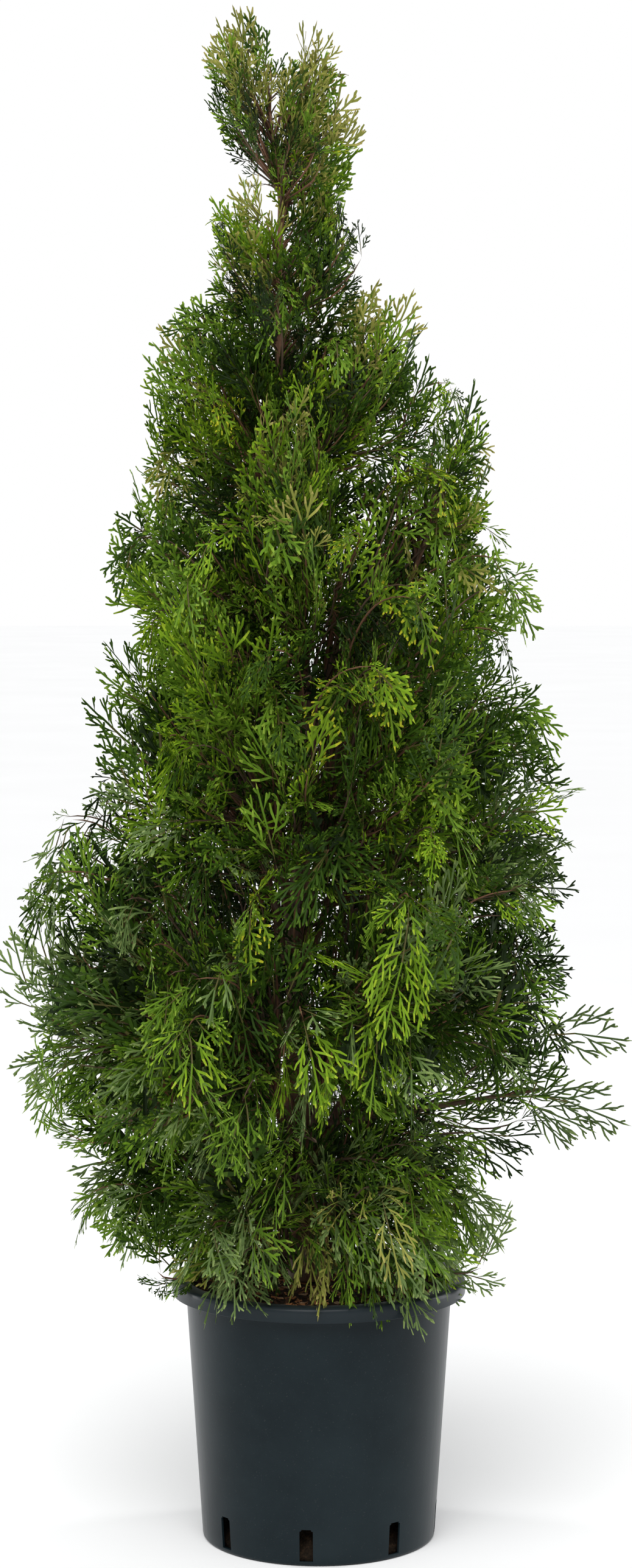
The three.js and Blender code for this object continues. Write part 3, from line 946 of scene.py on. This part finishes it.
def grow_open_spray(plant, tier, start, end):
    """The open bough: a few long, thin sprays in one upright plane, and a fork above it with its own."""
    run = end - start
    along = unit(run)
    facing = unit((0.1, -1, 0.25))
    most = 0.045

    def in_box(base, heading):
        """The length that a spray may have before it leaves the CAD model's box."""
        return (WIDEST - base[0]) / max(heading[0], 0.1)

    for share in (0.78, 0.66, 0.56, 0.48, 0.40):
        heading = turned(along, facing, rng.uniform(-0.3, 0.3))
        plant.spray(tier, "sparse", start + run * share + facing * 0.006, heading, facing, 0.056, "mid",
                    -0.06, 0, most)
    side = 1
    for share in (0.86, 0.82, 0.74, 0.66, 0.56, 0.46, 0.36, 0.26):
        base = start + run * share
        heading = turned(along, facing, math.radians(-20 if share == 0.86 else side * rng.uniform(24, 38)))
        length = min(OPEN_SPRAY * rng.uniform(0.9, 1.05), in_box(base, heading)) * (0.8 if side < 0 else 1.0)
        own_facing = turned(facing, heading, rng.normal(0, 0.2))
        plant.spray(tier, "sparse", base, heading, own_facing, length, "slate", -0.06, 0, most)
        side = -side
    tip = start + run * 0.92 + (0, 0, FORK_RISE)
    fork = curve(start + run * 0.45, start + run * 0.55, tip - along * 0.05, tip, 8)
    plant.twig(tier, fork, FORK_WOOD)
    for share, angle in ((1.0, -4), (0.85, 34), (0.75, -26), (0.6, 36), (0.5, -26), (0.35, 34)):
        base = fork[int(share * (len(fork) - 1))]
        heading = turned(along, facing, math.radians(angle + rng.uniform(-5, 5)))
        length = min(OPEN_SPRAY * (1.0 if share == 1.0 else 0.62), in_box(base, heading))
        plant.spray(tier, "sparse", base, heading, facing, length, "slate", -0.04, 0, 0.05, 0.8)


def outer_kind(spot):
    """The kind of the sprays on single boughs and in the gaps."""
    return "sparse" if spot[2] < 0.5 else "fan"


def grow_strays(plant):
    """Single boughs from the trunk, with sprays to both sides, that round off the outline."""
    for place, length in STRAYS:
        end = np.array(place)
        tier = piece_at(end[2])
        out = outwards(end)
        start = trunk_at(end[2] - 0.05)
        path = curve(start, start + 0.3 * (end - start) + (0, 0, 0.02), end - out * 0.06, end, 12)
        plant.twig(tier, path, STRAY_WOOD)
        side = 1
        for share in np.linspace(1.0, 0.45, STRAY_SPRAYS):
            at = share * (len(path) - 1)
            k = min(int(at), len(path) - 2)
            base = path[k] + (path[k + 1] - path[k]) * (at - k)
            along = unit(path[k + 1] - path[k])
            face = -1 if end[1] < 0 else 1
            facing = unit((0.2 * out[0], face, 0.4 + rng.uniform(-0.3, 0.3)))
            angle = 0.0 if share == 1.0 else side * math.radians(rng.uniform(28, 48))
            heading = turned(along, facing, angle)
            family = pick_family(end, rng.choice([0.0, 0.03]))
            plant.spray(tier, outer_kind(end), base, heading, facing, length * rng.uniform(0.85, 1.1), family,
                        -0.08, rng.uniform(-0.4, 0.1), 0.03, 0.7)
            side = -side


def grow_twig(plant, tier, carrier, spot, normal, thickness):
    """One twig from its carrier to a growing tip, with sprays to both sides and one at its end."""
    share = rng.random()
    for part, least, most in LAYERS:
        if share < part:
            break
        share -= part
    z, aside = spot[2], dent(spot)
    depth = rng.uniform(least, most) * thickness + pocket(spot) + aside
    limit = SPRAY_REACH - aside * (1 if aside < 0 else 0.5)
    ending, pull = growing_direction(spot, normal)
    tip = spot - normal * depth
    last = lookup(TIP_SPRAY, z) * (1 + rng.uniform(-1, 1) * TIP_SPREAD)
    if z < GREAT[2] and rng.random() < GREAT[0]:
        last *= GREAT[1]
    end = tip - ending * last * TIP_SHARE
    gaps = np.linalg.norm(carrier - end, axis=1)
    near = int(np.argmin(gaps))
    back = int(lookup(ASCENT, z) * gaps[near] / max(np.linalg.norm(carrier[1] - carrier[0]), 1e-4))
    root = carrier[max(0, near - back)]
    reach = np.linalg.norm(end - root)
    leaving = unit(0.5 * unit(carrier[min(near + 1, len(carrier) - 1)] - carrier[max(0, near - 1)])
                   + unit(end - root))
    arriving = unit(ending + 0.9 * unit(end - root))
    path = curve(root, root + leaving * reach * TWIG_LEAVE, end - arriving * reach * TWIG_ARRIVE, end,
                 max(5, int(reach / TWIG_STEP)))
    # Its colour darkens with its depth, pockets and dents included: painted shade.
    family = pick_family(spot, depth)
    curtain = depth < 0.02 and pull < -0.6 and z > 0.6 and abs(spot[0]) < 0.14
    if curtain:
        family = drawn(CURTAIN_LEAVES)
    facing_out = rng.random() < lookup(FACING, z) * (1.0 if abs(normal[1]) > 0.6 else 0.7)
    if facing_out or curtain:
        facing = unit(outwards(spot) + (0, 0, 0.5))
    else:
        facing = np.cross(UP, outwards(spot)) * rng.choice([-1, 1])
    facing = turned(facing, ending, rng.normal(0, FACING_SPREAD))
    odds = next(odds for height, odds in SPRAY_ODDS if z > height)
    if 0.6 < z < 0.85 and abs(spot[0]) > 0.15:
        odds = WAIST_ODDS
    kind = "feather" if curtain else rng.choice(SPRAY_NAMES, p=odds)
    hang = 0.16 * pull + rng.normal(0, 0.05)
    cup = rng.uniform(-0.5, 0.2)
    woody = path if plant.spray(tier, kind, end, ending, facing, last, family, hang, cup, limit) else None
    lengths = np.concatenate([[0], np.cumsum(np.linalg.norm(np.diff(path, axis=0), axis=1))])
    side = rng.choice([-1, 1])
    place = lengths[-1] - FIRST_SIDE
    while place > max(BARE_FOOT, lengths[-1] - SPRAY_ZONE):
        base = point_along(path, lengths, place)
        step = min(len(path) - 2, int(np.searchsorted(lengths, place, side="right")) - 1)
        along = unit(path[step + 1] - path[step])
        normal_here = across(facing, along)
        angle = side * math.radians(rng.uniform(*SIDE_ANGLE) * (CURTAIN_FOLD if curtain else 1))
        heading = turned(along, normal_here, angle)
        heading = unit(heading + (0, 0, 0.25 * pull))
        faces = turned(normal_here, heading, rng.normal(0, SIDE_SPREAD))
        length = last * min(1.0, 0.66 + 4.0 * (lengths[-1] - place)) * rng.uniform(0.85, 1.05)
        own = family
        # A side spray deep inside its mass may take a darker colour: painted shade.
        if rng.random() >= 0.7:
            own = pick_family(base, max(depth, -CROWN.masses.outside(base) - 0.03))
        if plant.spray(tier, kind, base, heading, faces, length, own, hang, cup, limit) and woody is None:
            woody = path[: step + 2]
        place -= SPRAY_STEP * rng.uniform(0.8, 1.2)
        side = -side
    if woody is not None:
        colour = YOUNG if rng.random() < 0.6 else OLD
        plant.twig(tier, woody, (min(0.0021, 0.0010 + 0.007 * reach), 0.0008), colour)


def fill_core(plant, tier, low, high):
    """Sets coarse sprays deep inside a mass, in dark colours as painted shade, where little light falls."""
    size = high - low
    fullness = 0.5 if tier in ("skirt", "low") else 1.0
    for _ in range(int(size.x * size.y * size.z / CORE_VOLUME * fullness)):
        spot = np.array([low[k] + rng.random() * size[k] for k in range(3)])
        if CROWN.masses.outside(spot) > -CORE_DEPTH:
            continue
        heading = unit(outwards(spot) + (0.3 + rng.random()) * UP + rng.normal(0, 0.5, 3))
        facing = rng.normal(0, 1, 3) * (0.7, 1.3, 0.5)
        length = rng.uniform(0.06, 0.10)
        if CROWN.outside(spot + heading * length) > -CORE_DEPTH:
            continue
        dead = 0.02 if spot[2] < 0.6 else 0
        # The shade and deep families here are painted shade.
        family = rng.choice(["shade", "deep", "dead"], p=[0.67 - dead, 0.33, dead])
        kind = "fan" if family == "dead" else "core"
        plant.spray(tier, kind, spot, heading, facing, length, family, 0, 0)


def piece_at(z):
    """The piece that a spray at a height belongs to."""
    return "skirt" if z < 0.44 else "low" if z < 0.76 else "mid" if z < 1.02 else "upper"


def fill_trunk(plant):
    """Sets sprays on short twigs all the way up the trunk, dark as painted shade, fewer and lighter near its
    top.
    """
    turn = 0.0
    for z in np.arange(*TRUNK_FILL):
        turn += GOLDEN_TURN + rng.normal(0, 0.2)
        out = level(turn)
        start = trunk_at(z) + out * np.interp(z, TRUNK[:, 2], TRUNK[:, 3]) * 0.8
        heading = unit(out + (0.5 + 0.5 * rng.random()) * UP)
        base = start + heading * rng.uniform(0.01, 0.05)
        if z > TRUNK_THIN and rng.random() < TRUNK_SKIP:
            continue
        facing = turned(leftwards(out), heading, rng.uniform(-1.6, 1.6))
        # Below TRUNK_LIGHT, the shade and deep families: painted shade inside the crown, with some dead brown
        # sprays low down.
        dead = 0.35 if z < 0.40 else 0.10 if z < 0.7 and abs(out[1]) > 0.6 else 0.0
        family = rng.choice(["shade", "deep", "dead"], p=[0.6 - dead, 0.4, dead])
        length = 1.0
        if z >= TRUNK_LIGHT:
            family, length = drawn(TRUNK_TOP_LEAVES), 0.6
        length *= rng.uniform(0.07, 0.11)
        tier = piece_at(z)
        plant.spray(tier, "fan", base, heading, facing, length, family, 0, 0, room=TRUNK_ROOM)
        plant.twig(tier, np.array([start, (start + base) / 2, base]), TRUNK_TWIG)


def fill_gaps(plant):
    """Sets sprays on twigs of their own where the crown closes over the gaps between two masses."""
    low, high = CROWN_GAPS
    for _ in range(GAP_TRIES):
        spot = rng.uniform(low, high)
        if not -0.085 < CROWN.outside(spot) < -0.012 or CROWN.masses.outside(spot) < 0.004:
            continue
        out = outwards(spot)
        heading = unit(out + rng.normal(0, 0.35, 3) + (0, 0, 0.5 * lookup(PULL, spot[2])))
        facing = unit(out + (0, 0, 0.6)) if rng.random() < 0.5 else np.cross(UP, out)
        tier = piece_at(spot[2])
        family = pick_family(spot, 0.0 if rng.random() < 0.6 else 0.03)
        length = lookup(TIP_SPRAY, spot[2]) * rng.uniform(0.7, 1.0)
        facing = turned(facing, heading, rng.normal(0, 0.4))
        if plant.spray(tier, outer_kind(spot), spot, heading, facing, length, family, -0.05,
                       rng.uniform(-0.5, 0.2), 0.006, 0.9):
            start = trunk_at(spot[2] - 0.02) + 0.4 * (spot - trunk_at(spot[2]))
            plant.twig(tier, curve(start, start + out * 0.03, spot - heading * 0.04, spot, 7), GAP_TWIG)


def hang_over_lip(plant):
    """The lowest sprays, which hang from the skirt over the pot's lip all round."""
    for k in range(LIP_SPRAYS):
        angle = 2 * math.pi * (k + 0.35 + rng.uniform(-0.22, 0.22)) / LIP_SPRAYS
        out = level(angle)
        base = out * rng.uniform(0.096, 0.112) + (0, 0, POT_HIGH + rng.uniform(0.034, 0.060))
        heading = unit(0.85 * out + (0, 0, -0.45))
        facing = unit(out + (0, 0, 0.9))
        length = rng.uniform(0.062, 0.086)
        family = rng.choice(["mid", "grey"])
        plant.spray("skirt", "fan", base, heading, facing, length, family, -0.42, -0.1, 0.06)
        start = trunk_at(base[2]) + 0.1 * (base - trunk_at(base[2])) + (0, 0, 0.05)
        middle = (start + base) / 2 + (0, 0, 0.03)
        plant.twig("skirt", curve(start, middle, base - heading * 0.03, base, 9), LIP_TWIG)


def grow_leader_tip(plant):
    """The shoots that stand up at the very top of the crown."""
    points = np.concatenate([node_arrays(mass)[0] for mass in MASSES])
    top = points[points[:, 2].argmax()]
    for right, down, lean, length in LEADER_SHOOTS:
        heading = unit((lean, 0.0, 1.0))
        base = top + (right, 0, -down) - heading * length
        plant.spray("top", "feather", base, heading, FRONT, length, "olive", 0, 0, 0.03)


PIECES = {"skirt": "skirt", "side_spray": "skirt", "low": "low", "mid": "mid", "second_leader": "mid",
          "upper": "upper", "shoulder": "upper", "neck": "top", "tip": "top"}


def piece_of(mass):
    """The piece that a mass belongs to, by how its name starts."""
    return next(piece for start, piece in PIECES.items() if mass.startswith("foliage_" + start))


def grow_plant():
    """Grows every mass of the crown."""
    plant, taken, carriers = Plant(), Spots(), []
    for mass in MASSES:
        tier = piece_of(mass)
        carrier, woody = carrier_of(mass)
        if woody:
            plant.twig(tier, carrier, STOUT_WOOD, sides=5)
        low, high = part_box(mass)
        thickness = min(1.0, min(high.x - low.x, high.y - low.y) / 0.19)
        if mass == OPEN_MASS:
            grow_open_spray(plant, tier, *bough_line(mass.replace("foliage_", "bough_")))
            continue
        for spot, normal in targets_on(mass, taken):
            grow_twig(plant, tier, carrier, spot, normal, thickness)
        fill_core(plant, tier, low, high)
        carriers.append((carrier, tier))
    fill_trunk(plant)
    hang_over_lip(plant)
    grow_leader_tip(plant)
    for spot in CROWN.grooves():
        if taken.crowded(spot, lookup(SPACING, spot[2])):
            continue
        taken.add(spot)
        gaps = [np.linalg.norm(carrier - spot, axis=1).min() for carrier, _ in carriers]
        carrier, tier = carriers[int(np.argmin(gaps))]
        grow_twig(plant, tier, carrier, spot, outwards(spot), 0.5)
    grow_strays(plant)
    fill_gaps(plant)
    return plant


def make_crown(plant):
    """Joins the leaves and twigs into pieces under the size limit, which replace the CAD masses."""
    leaves = leaf_materials()
    woods = [plain("twig_young", (0.168, 0.086, 0.050), 0.7), plain("twig_old", (0.100, 0.066, 0.044), 0.85)]
    for tier in sorted(plant.leaves):
        rows = plant.leaves[tier]
        parts = math.ceil(sum(len(faces) for _, faces, _ in rows) / LEAF_FACES_MAX)
        for part in range(parts):
            pile = Pile()
            for row in rows[part::parts]:
                pile.add(*row)
            made = pile.make(f"sprays_{tier}_{part + 1}", leaves)
            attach(made, "root")
            if part == 0:
                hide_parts(*[mass for mass in MASSES if piece_of(mass) == tier])
        made = plant.twigs[tier].make(f"twigs_{tier}", woods, smooth=True)
        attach(made, "root")


# ---------------------------------------------------------------- bark


def bark_relief(angle, height, depth):
    """Long fibres and a few wider plates, as a change of radius."""
    ring = (math.cos(angle), math.sin(angle))
    fibres = noise.noise(Vector((ring[0] * 5.5, ring[1] * 5.5, height * 34)))
    plates = noise.noise(Vector((ring[0] * 2.2, ring[1] * 2.2, height * 13 + 7)))
    return depth * (0.65 * fibres + 0.6 * abs(plates))


TRUNK_SIDES, BOUGH_SIDES = 30, 12
FOOT_HIGH, FOOT_STEP, BARK_STEP = 0.06, 0.002, 0.0045   # the trunk's foot has its rings closer together
BOUGH_STEP = 0.004
BOUGH_TIP = 0.0018          # a bough's radius at its end


def make_trunk(bark):
    """The trunk with its bark's relief, on the CAD trunk's own sections."""
    sides, low, high = TRUNK_SIDES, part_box("trunk")[0].z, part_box("trunk")[1].z
    foot = low + FOOT_HIGH
    heights = np.concatenate([np.arange(low, foot, FOOT_STEP), np.arange(foot, high, BARK_STEP), [high]])
    points = []
    for z in heights:
        middle = Vector(trunk_at(z))
        probe = min(max(z, low + 0.0005), high - 0.0005)
        for angle in turns(sides):
            ray = Vector(level(angle))
            start = Vector((middle.x, middle.y, probe))
            hit = WOOD.tree.ray_cast(start, ray)
            radius = hit[3] if hit[0] is not None else 0.001
            relief = bark_relief(angle, z, min(0.0016, 0.10 * radius))
            points.append(Vector((middle.x, middle.y, z)) + ray * max(0.0006, radius - 0.0004 + relief))
    faces = between_rings(len(heights), sides)
    top = len(points)
    points += [Vector(trunk_at(z)) for z in (heights[0], heights[-1])]
    last = (len(heights) - 1) * sides
    for k in range(sides):
        faces += [((k + 1) % sides, k, top), (last + k, last + (k + 1) % sides, top + 1)]
    made = mesh_object("trunk_bark", [list(p) for p in points], faces, [bark], smooth=True)
    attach(made, "root")
    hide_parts("trunk")


def make_boughs(bark):
    """The boughs with their bark's relief, joined in one piece."""
    pile = Pile()
    for name in BOUGHS:
        start, end = bough_line(name)
        root = start + (start - end) * 0.02
        along = unit(end - root)
        side = across(np.array([0.3, 0.5, 0.8]), along)
        other = np.cross(along, side)
        points, _ = node_arrays(name)
        off = np.linalg.norm((points - start) - np.outer((points - start) @ along, along), axis=1)
        thick = float(np.percentile(off[np.linalg.norm(points - start, axis=1) < 0.03], 90))
        length = np.linalg.norm(end - root)
        rings = max(12, int(length / BOUGH_STEP))
        path = [root + (end - root) * t for t in np.linspace(0, 1, rings)]
        radii = thick + (BOUGH_TIP - thick) * np.linspace(0, 1, rings) ** 0.6
        tube_points, faces = tube(path, radii, BOUGH_SIDES)
        middles = np.repeat(np.array(path[:-1]), BOUGH_SIDES, axis=0)
        away = tube_points[:-1] - middles
        for i, spoke in enumerate(away):
            angle = math.atan2(np.dot(spoke, other), np.dot(spoke, side))
            relief = bark_relief(angle, middles[i] @ along, 0.0008)
            tube_points[i] = middles[i] + spoke * (1 + relief / max(np.linalg.norm(spoke), 1e-4))
        pile.add(tube_points, faces, 0)
    made = pile.make("bough_bark", [bark], smooth=True)
    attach(made, "root")
    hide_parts(*BOUGHS)


# ---------------------------------------------------------------- pot and growing medium


POT_SIDES = 144
POT_MIDDLE = 0.0004         # the profile keeps this far from the axis
SLOT_ROUND = 0.0018
SOIL_SIDES, SOIL_TOP_RINGS, SOIL_SIDE_RINGS = 96, 26, 40
SOIL_LOW = 0.0034
CHIP_TRIES = 1500
CHIP_FARTHEST = 0.1325      # from the pot's axis
CHIPS = {                   # the colours of the chips, and the share of each
    "dark": ((0.050, 0.026, 0.015), 0.3), "brown": ((0.190, 0.088, 0.040), 0.3),
    "orange": ((0.340, 0.150, 0.060), 0.28), "pale": ((0.380, 0.250, 0.150), 0.12),
}


def wall_radius(z):
    """The outside radius of the pot's wall at a height."""
    return POT_BASE_RADIUS + (POT_TOP_RADIUS - POT_BASE_RADIUS) * z / POT_HIGH


def lathe(name, profile, sides, materials):
    """A closed solid of revolution about the Z axis from rows of (radius, height)."""
    points = [(r * math.cos(angle), r * math.sin(angle), z) for angle in turns(sides) for r, z in profile]
    faces, rows = [], len(profile)
    for k in range(sides):
        n = ((k + 1) % sides) * rows
        for i in range(rows):
            j = (i + 1) % rows
            faces.append((k * rows + i, n + i, n + j, k * rows + j))
    return mesh_object(name, points, faces, materials, smooth=True)


def rounded(corner, before, after, radius, steps=5):
    """A corner of a profile, rounded: points from the side before it to the side after it."""
    corner, before, after = (np.array(p, float) for p in (corner, before, after))
    a = corner + unit(before - corner) * radius
    b = corner + unit(after - corner) * radius
    return [(1 - t) ** 2 * a + 2 * t * (1 - t) * corner + t * t * b for t in np.linspace(0, 1, steps)]


def pot_profile():
    """The pot's section, from the middle of its floor up inside, over the lip and down: (radius, height)."""
    high, rim, top = POT_HIGH, POT_RIM, POT_TOP_RADIUS
    corners = [      # with the radius of each rounding in millimetres
        (0.0, POT_FLOOR, 0), (wall_radius(POT_FLOOR) - POT_WALL, POT_FLOOR, 2), (top - POT_WALL, high, 1.0),
        (rim, high, 5), (rim, POT_LIP_UNDERSIDE, 0.8), (rim - POT_WALL, POT_LIP_UNDERSIDE, 0.8),
        (rim - POT_WALL, high - POT_WALL, 2.6), (top, high - POT_WALL, 0.8), (POT_BASE_RADIUS, 0.0, 4),
        (0.0, 0.0, 0),
    ]
    # Points along the wall, by the corner that they follow, so that no face of it is long.
    along_wall = {1: np.linspace(0.1, 0.9, 17), 7: np.linspace(0.06, 0.94, 29)}
    profile = []
    for i, (*corner, rounding) in enumerate(corners):
        corner, following = np.array(corner), np.array(corners[(i + 1) % len(corners)][:2])
        if rounding:
            profile += rounded(corner, corners[i - 1][:2], following, rounding * MM)
        else:
            profile.append(corner)
        profile += [corner + (following - corner) * t for t in along_wall.get(i, ())]
    return [(max(r, POT_MIDDLE), z) for r, z in profile]


def slot_cutter():
    """A block for each slot at the pot's foot, with rounded upper edges."""
    cutters = bmesh.new()
    for angle in turns(SLOT_COUNT):
        place = Matrix.Rotation(SLOT_TURN - math.pi / 2 + angle, 4, "Z")
        place = place @ Matrix.Translation((POT_BASE_RADIUS + 0.001, 0, 0))
        place = place @ Matrix.Translation((0, 0, (SLOT_HIGH + SLOT_LOW) / 2))
        size = Matrix.Diagonal((0.028, SLOT_WIDTH, SLOT_HIGH - SLOT_LOW, 1))
        block = bmesh.ops.create_cube(cutters, size=1, matrix=place @ size)
        upper = [e for e in cutters.edges if e.verts[0] in block["verts"] and e.verts[0].co.z > 0.03
                 and abs(e.verts[0].co.z - e.verts[1].co.z) < 1e-6]
        bmesh.ops.bevel(cutters, geom=upper, offset=SLOT_ROUND, segments=3, affect="EDGES")
    mesh = bpy.data.meshes.new("slot_cutter")
    cutters.to_mesh(mesh)
    cutters.free()
    return linked("slot_cutter", mesh)


def make_pot(plastic):
    """The pot: a thin tapering shell with its lip folded outwards and down, and slots at its foot."""
    made = lathe("pot_shell", pot_profile(), POT_SIDES, [plastic])
    cutter = slot_cutter()
    cut = made.modifiers.new("slots", "BOOLEAN")
    cut.operation = "DIFFERENCE"
    cut.solver = "EXACT"
    cut.object = cutter
    bpy.context.view_layer.update()
    final = bpy.data.meshes.new_from_object(made.evaluated_get(bpy.context.evaluated_depsgraph_get()))
    made.modifiers.clear()
    made.data = final
    bpy.data.objects.remove(cutter)
    final.polygons.foreach_set("use_smooth", np.full(len(final.polygons), True))
    final.set_sharp_from_angle(angle=math.radians(34))
    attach(made, "root")
    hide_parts("pot")


def soil_height(x, y):
    """The height of the growing medium: crowned at the trunk and lumpy."""
    crown = max(0.0, 1 - math.hypot(x + 0.010, y) / 0.13)
    lumps = noise.noise(Vector((x * 45, y * 45, 1.0))) * 0.0028
    grains = noise.noise(Vector((x * 130, y * 130, 5))) * 0.0016
    return SOIL_HIGH - 0.0075 + 0.006 * crown + (lumps + grains)


def make_soil(peat):
    """The root ball: a lumpy top, and a side that shows in the slots."""
    sides, rings, steps = SOIL_SIDES, SOIL_TOP_RINGS, SOIL_SIDE_RINGS
    top_radius = wall_radius(0.259) - POT_WALL - 0.0006
    points = [(0, 0, soil_height(0, 0))]
    for r in range(1, rings + 1):
        radius = top_radius * (r / rings) ** 0.8
        for angle in turns(sides):
            x, y = radius * math.cos(angle), radius * math.sin(angle)
            points.append((x, y, soil_height(x, y)))
    for z in np.linspace(0.235, SOIL_LOW, steps):
        share = np.interp(z, (SLOT_LOW, 0.8 * SLOT_HIGH, SLOT_HIGH, 2 * SLOT_HIGH), (0.08, 0.8, 1, 0))
        fallen = SLOT_RECESS * float(share)
        inside = wall_radius(z) - POT_WALL - 0.0008 - fallen
        for angle in turns(sides):
            x, y, _ = level(angle)
            lumps = 1 + noise.noise(Vector((x * 9, y * 9, z * 80)))
            radius = inside - (0.0012 + 0.10 * fallen) * lumps
            points.append((radius * x, radius * y, z))
    rows = rings + steps
    last, centre = 1 + (rows - 1) * sides, len(points)
    points.append((0, 0, SOIL_LOW))
    faces = [(0, 1 + k, 1 + (k + 1) % sides) for k in range(sides)]
    for a, b, c in between_rings(rows, sides):
        faces.append((a + 1, c + 1, b + 1))
    faces += [(last + k, centre, last + (k + 1) % sides) for k in range(sides)]
    made = mesh_object("root_ball_soil", points, faces, [peat], smooth=True)
    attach(made, "root")
    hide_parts("root_ball")


def make_litter():
    """Bark chips and litter on the growing medium: small flat boxes in four tones."""
    tones = [plain(f"chip_{tone}", colour, 0.9) for tone, (colour, _) in CHIPS.items()]
    dice = np.random.default_rng(SEED + 2)
    pile = Pile()
    corners = np.array([(x, y, z) for x in (-1, 1) for y in (-1, 1) for z in (-1, 1)], float)
    box = np.array([(0, 1, 3), (0, 3, 2), (4, 6, 7), (4, 7, 5), (0, 4, 5), (0, 5, 1),
                    (2, 3, 7), (2, 7, 6), (0, 2, 6), (0, 6, 4), (1, 5, 7), (1, 7, 3)])
    for _ in range(CHIP_TRIES):
        radius = 0.131 * math.sqrt(dice.random())
        x, y, _ = radius * level(dice.uniform(0, 2 * math.pi))
        long = dice.uniform(2, 12) * MM
        wide = min(long * dice.uniform(0.15, 0.5), 4 * MM)
        size = np.array([long, wide, long * dice.uniform(0.08, 0.2)]) / 2
        shape = corners * size * dice.uniform(0.55, 1.15, corners.shape)
        turn = Matrix.Rotation(dice.uniform(0, 6.3), 3, "Z") @ Matrix.Rotation(dice.normal(0, 0.35), 3, "Y")
        shape = shape @ np.array(turn).T + (x, y, soil_height(x, y) + size[2] * 0.6)
        if np.linalg.norm(shape[:, :2], axis=1).max() < CHIP_FARTHEST:
            pile.add(shape, box, int(dice.choice(len(CHIPS), p=[share for _, share in CHIPS.values()])))
    made = pile.make("soil_litter", tones)
    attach(made, "root")


# ---------------------------------------------------------------- stage


def aimed(direction):
    """The rotation of a light that looks along a direction."""
    return Vector(direction).to_track_quat("-Z", "Y").to_euler()


def make_camera():
    """The camera, above the middle of the plant and looking slightly down."""
    data = bpy.data.cameras.new("camera")
    data.lens = CAMERA["lens"]
    data.sensor_width = 36
    data.sensor_fit = "AUTO"
    data.clip_end = 100
    camera = linked("camera", data)
    camera.location = (CAMERA["side"], -CAMERA["distance"], CAMERA["height"])
    camera.rotation_euler = (math.radians(90 - CAMERA["down_deg"]), 0, 0)
    bpy.context.scene.camera = camera


def area_light(name, place, look_at, size, power):
    """A soft light, size wide and high, that looks at a point."""
    data = bpy.data.lights.new(name, "AREA")
    data.shape = "RECTANGLE"
    data.size, data.size_y = size
    data.energy = power
    light = linked(name, data)
    light.location = place
    light.rotation_euler = aimed(Vector(look_at) - Vector(place))


def make_stage():
    """A pale floor, a white surround and soft studio lights."""
    size = 30
    floor = mesh_object("floor", [(-size, -size, 0), (size, -size, 0), (size, size, 0), (-size, size, 0)],
                        [(0, 1, 2, 3)], [floor_material()])
    world = bpy.data.worlds.new("surround")
    world.use_nodes = True
    tree = world.node_tree
    glow, backdrop = tree.nodes["Background"], tree.nodes.new("ShaderNodeBackground")
    for shader, colour, strength in ((glow, (0.98, 0.99, 1, 1), 0.50), (backdrop, (1, 1, 1, 1), 1.0)):
        shader.inputs["Color"].default_value = colour
        shader.inputs["Strength"].default_value = strength
    seen = tree.nodes.new("ShaderNodeLightPath")
    choice = tree.nodes.new("ShaderNodeMixShader")
    tree.links.new(seen.outputs["Is Camera Ray"], choice.inputs["Fac"])
    tree.links.new(glow.outputs["Background"], choice.inputs[1])
    tree.links.new(backdrop.outputs["Background"], choice.inputs[2])
    tree.links.new(choice.outputs["Shader"], tree.nodes["World Output"].inputs["Surface"])
    bpy.context.scene.world = world
    data = bpy.data.lights.new("key", "SUN")
    data.energy = 2.4
    data.angle = math.radians(45)
    linked("key", data).rotation_euler = aimed((0.14, 0.9, -1.2))
    for side in (-1, 1):
        area_light(f"side_{side + 1}", (side * 2.5, 1.0, 1.0), (0, 0, 0.8), (0.5, 2.4), 30)
    bpy.context.scene.view_settings.view_transform = "Standard"


make_camera()
make_stage()
bark_finish = bark_material()
make_pot(pot_material())
make_soil(soil_material())
make_litter()
make_trunk(bark_finish)
make_boughs(bark_finish)
make_crown(grow_plant())
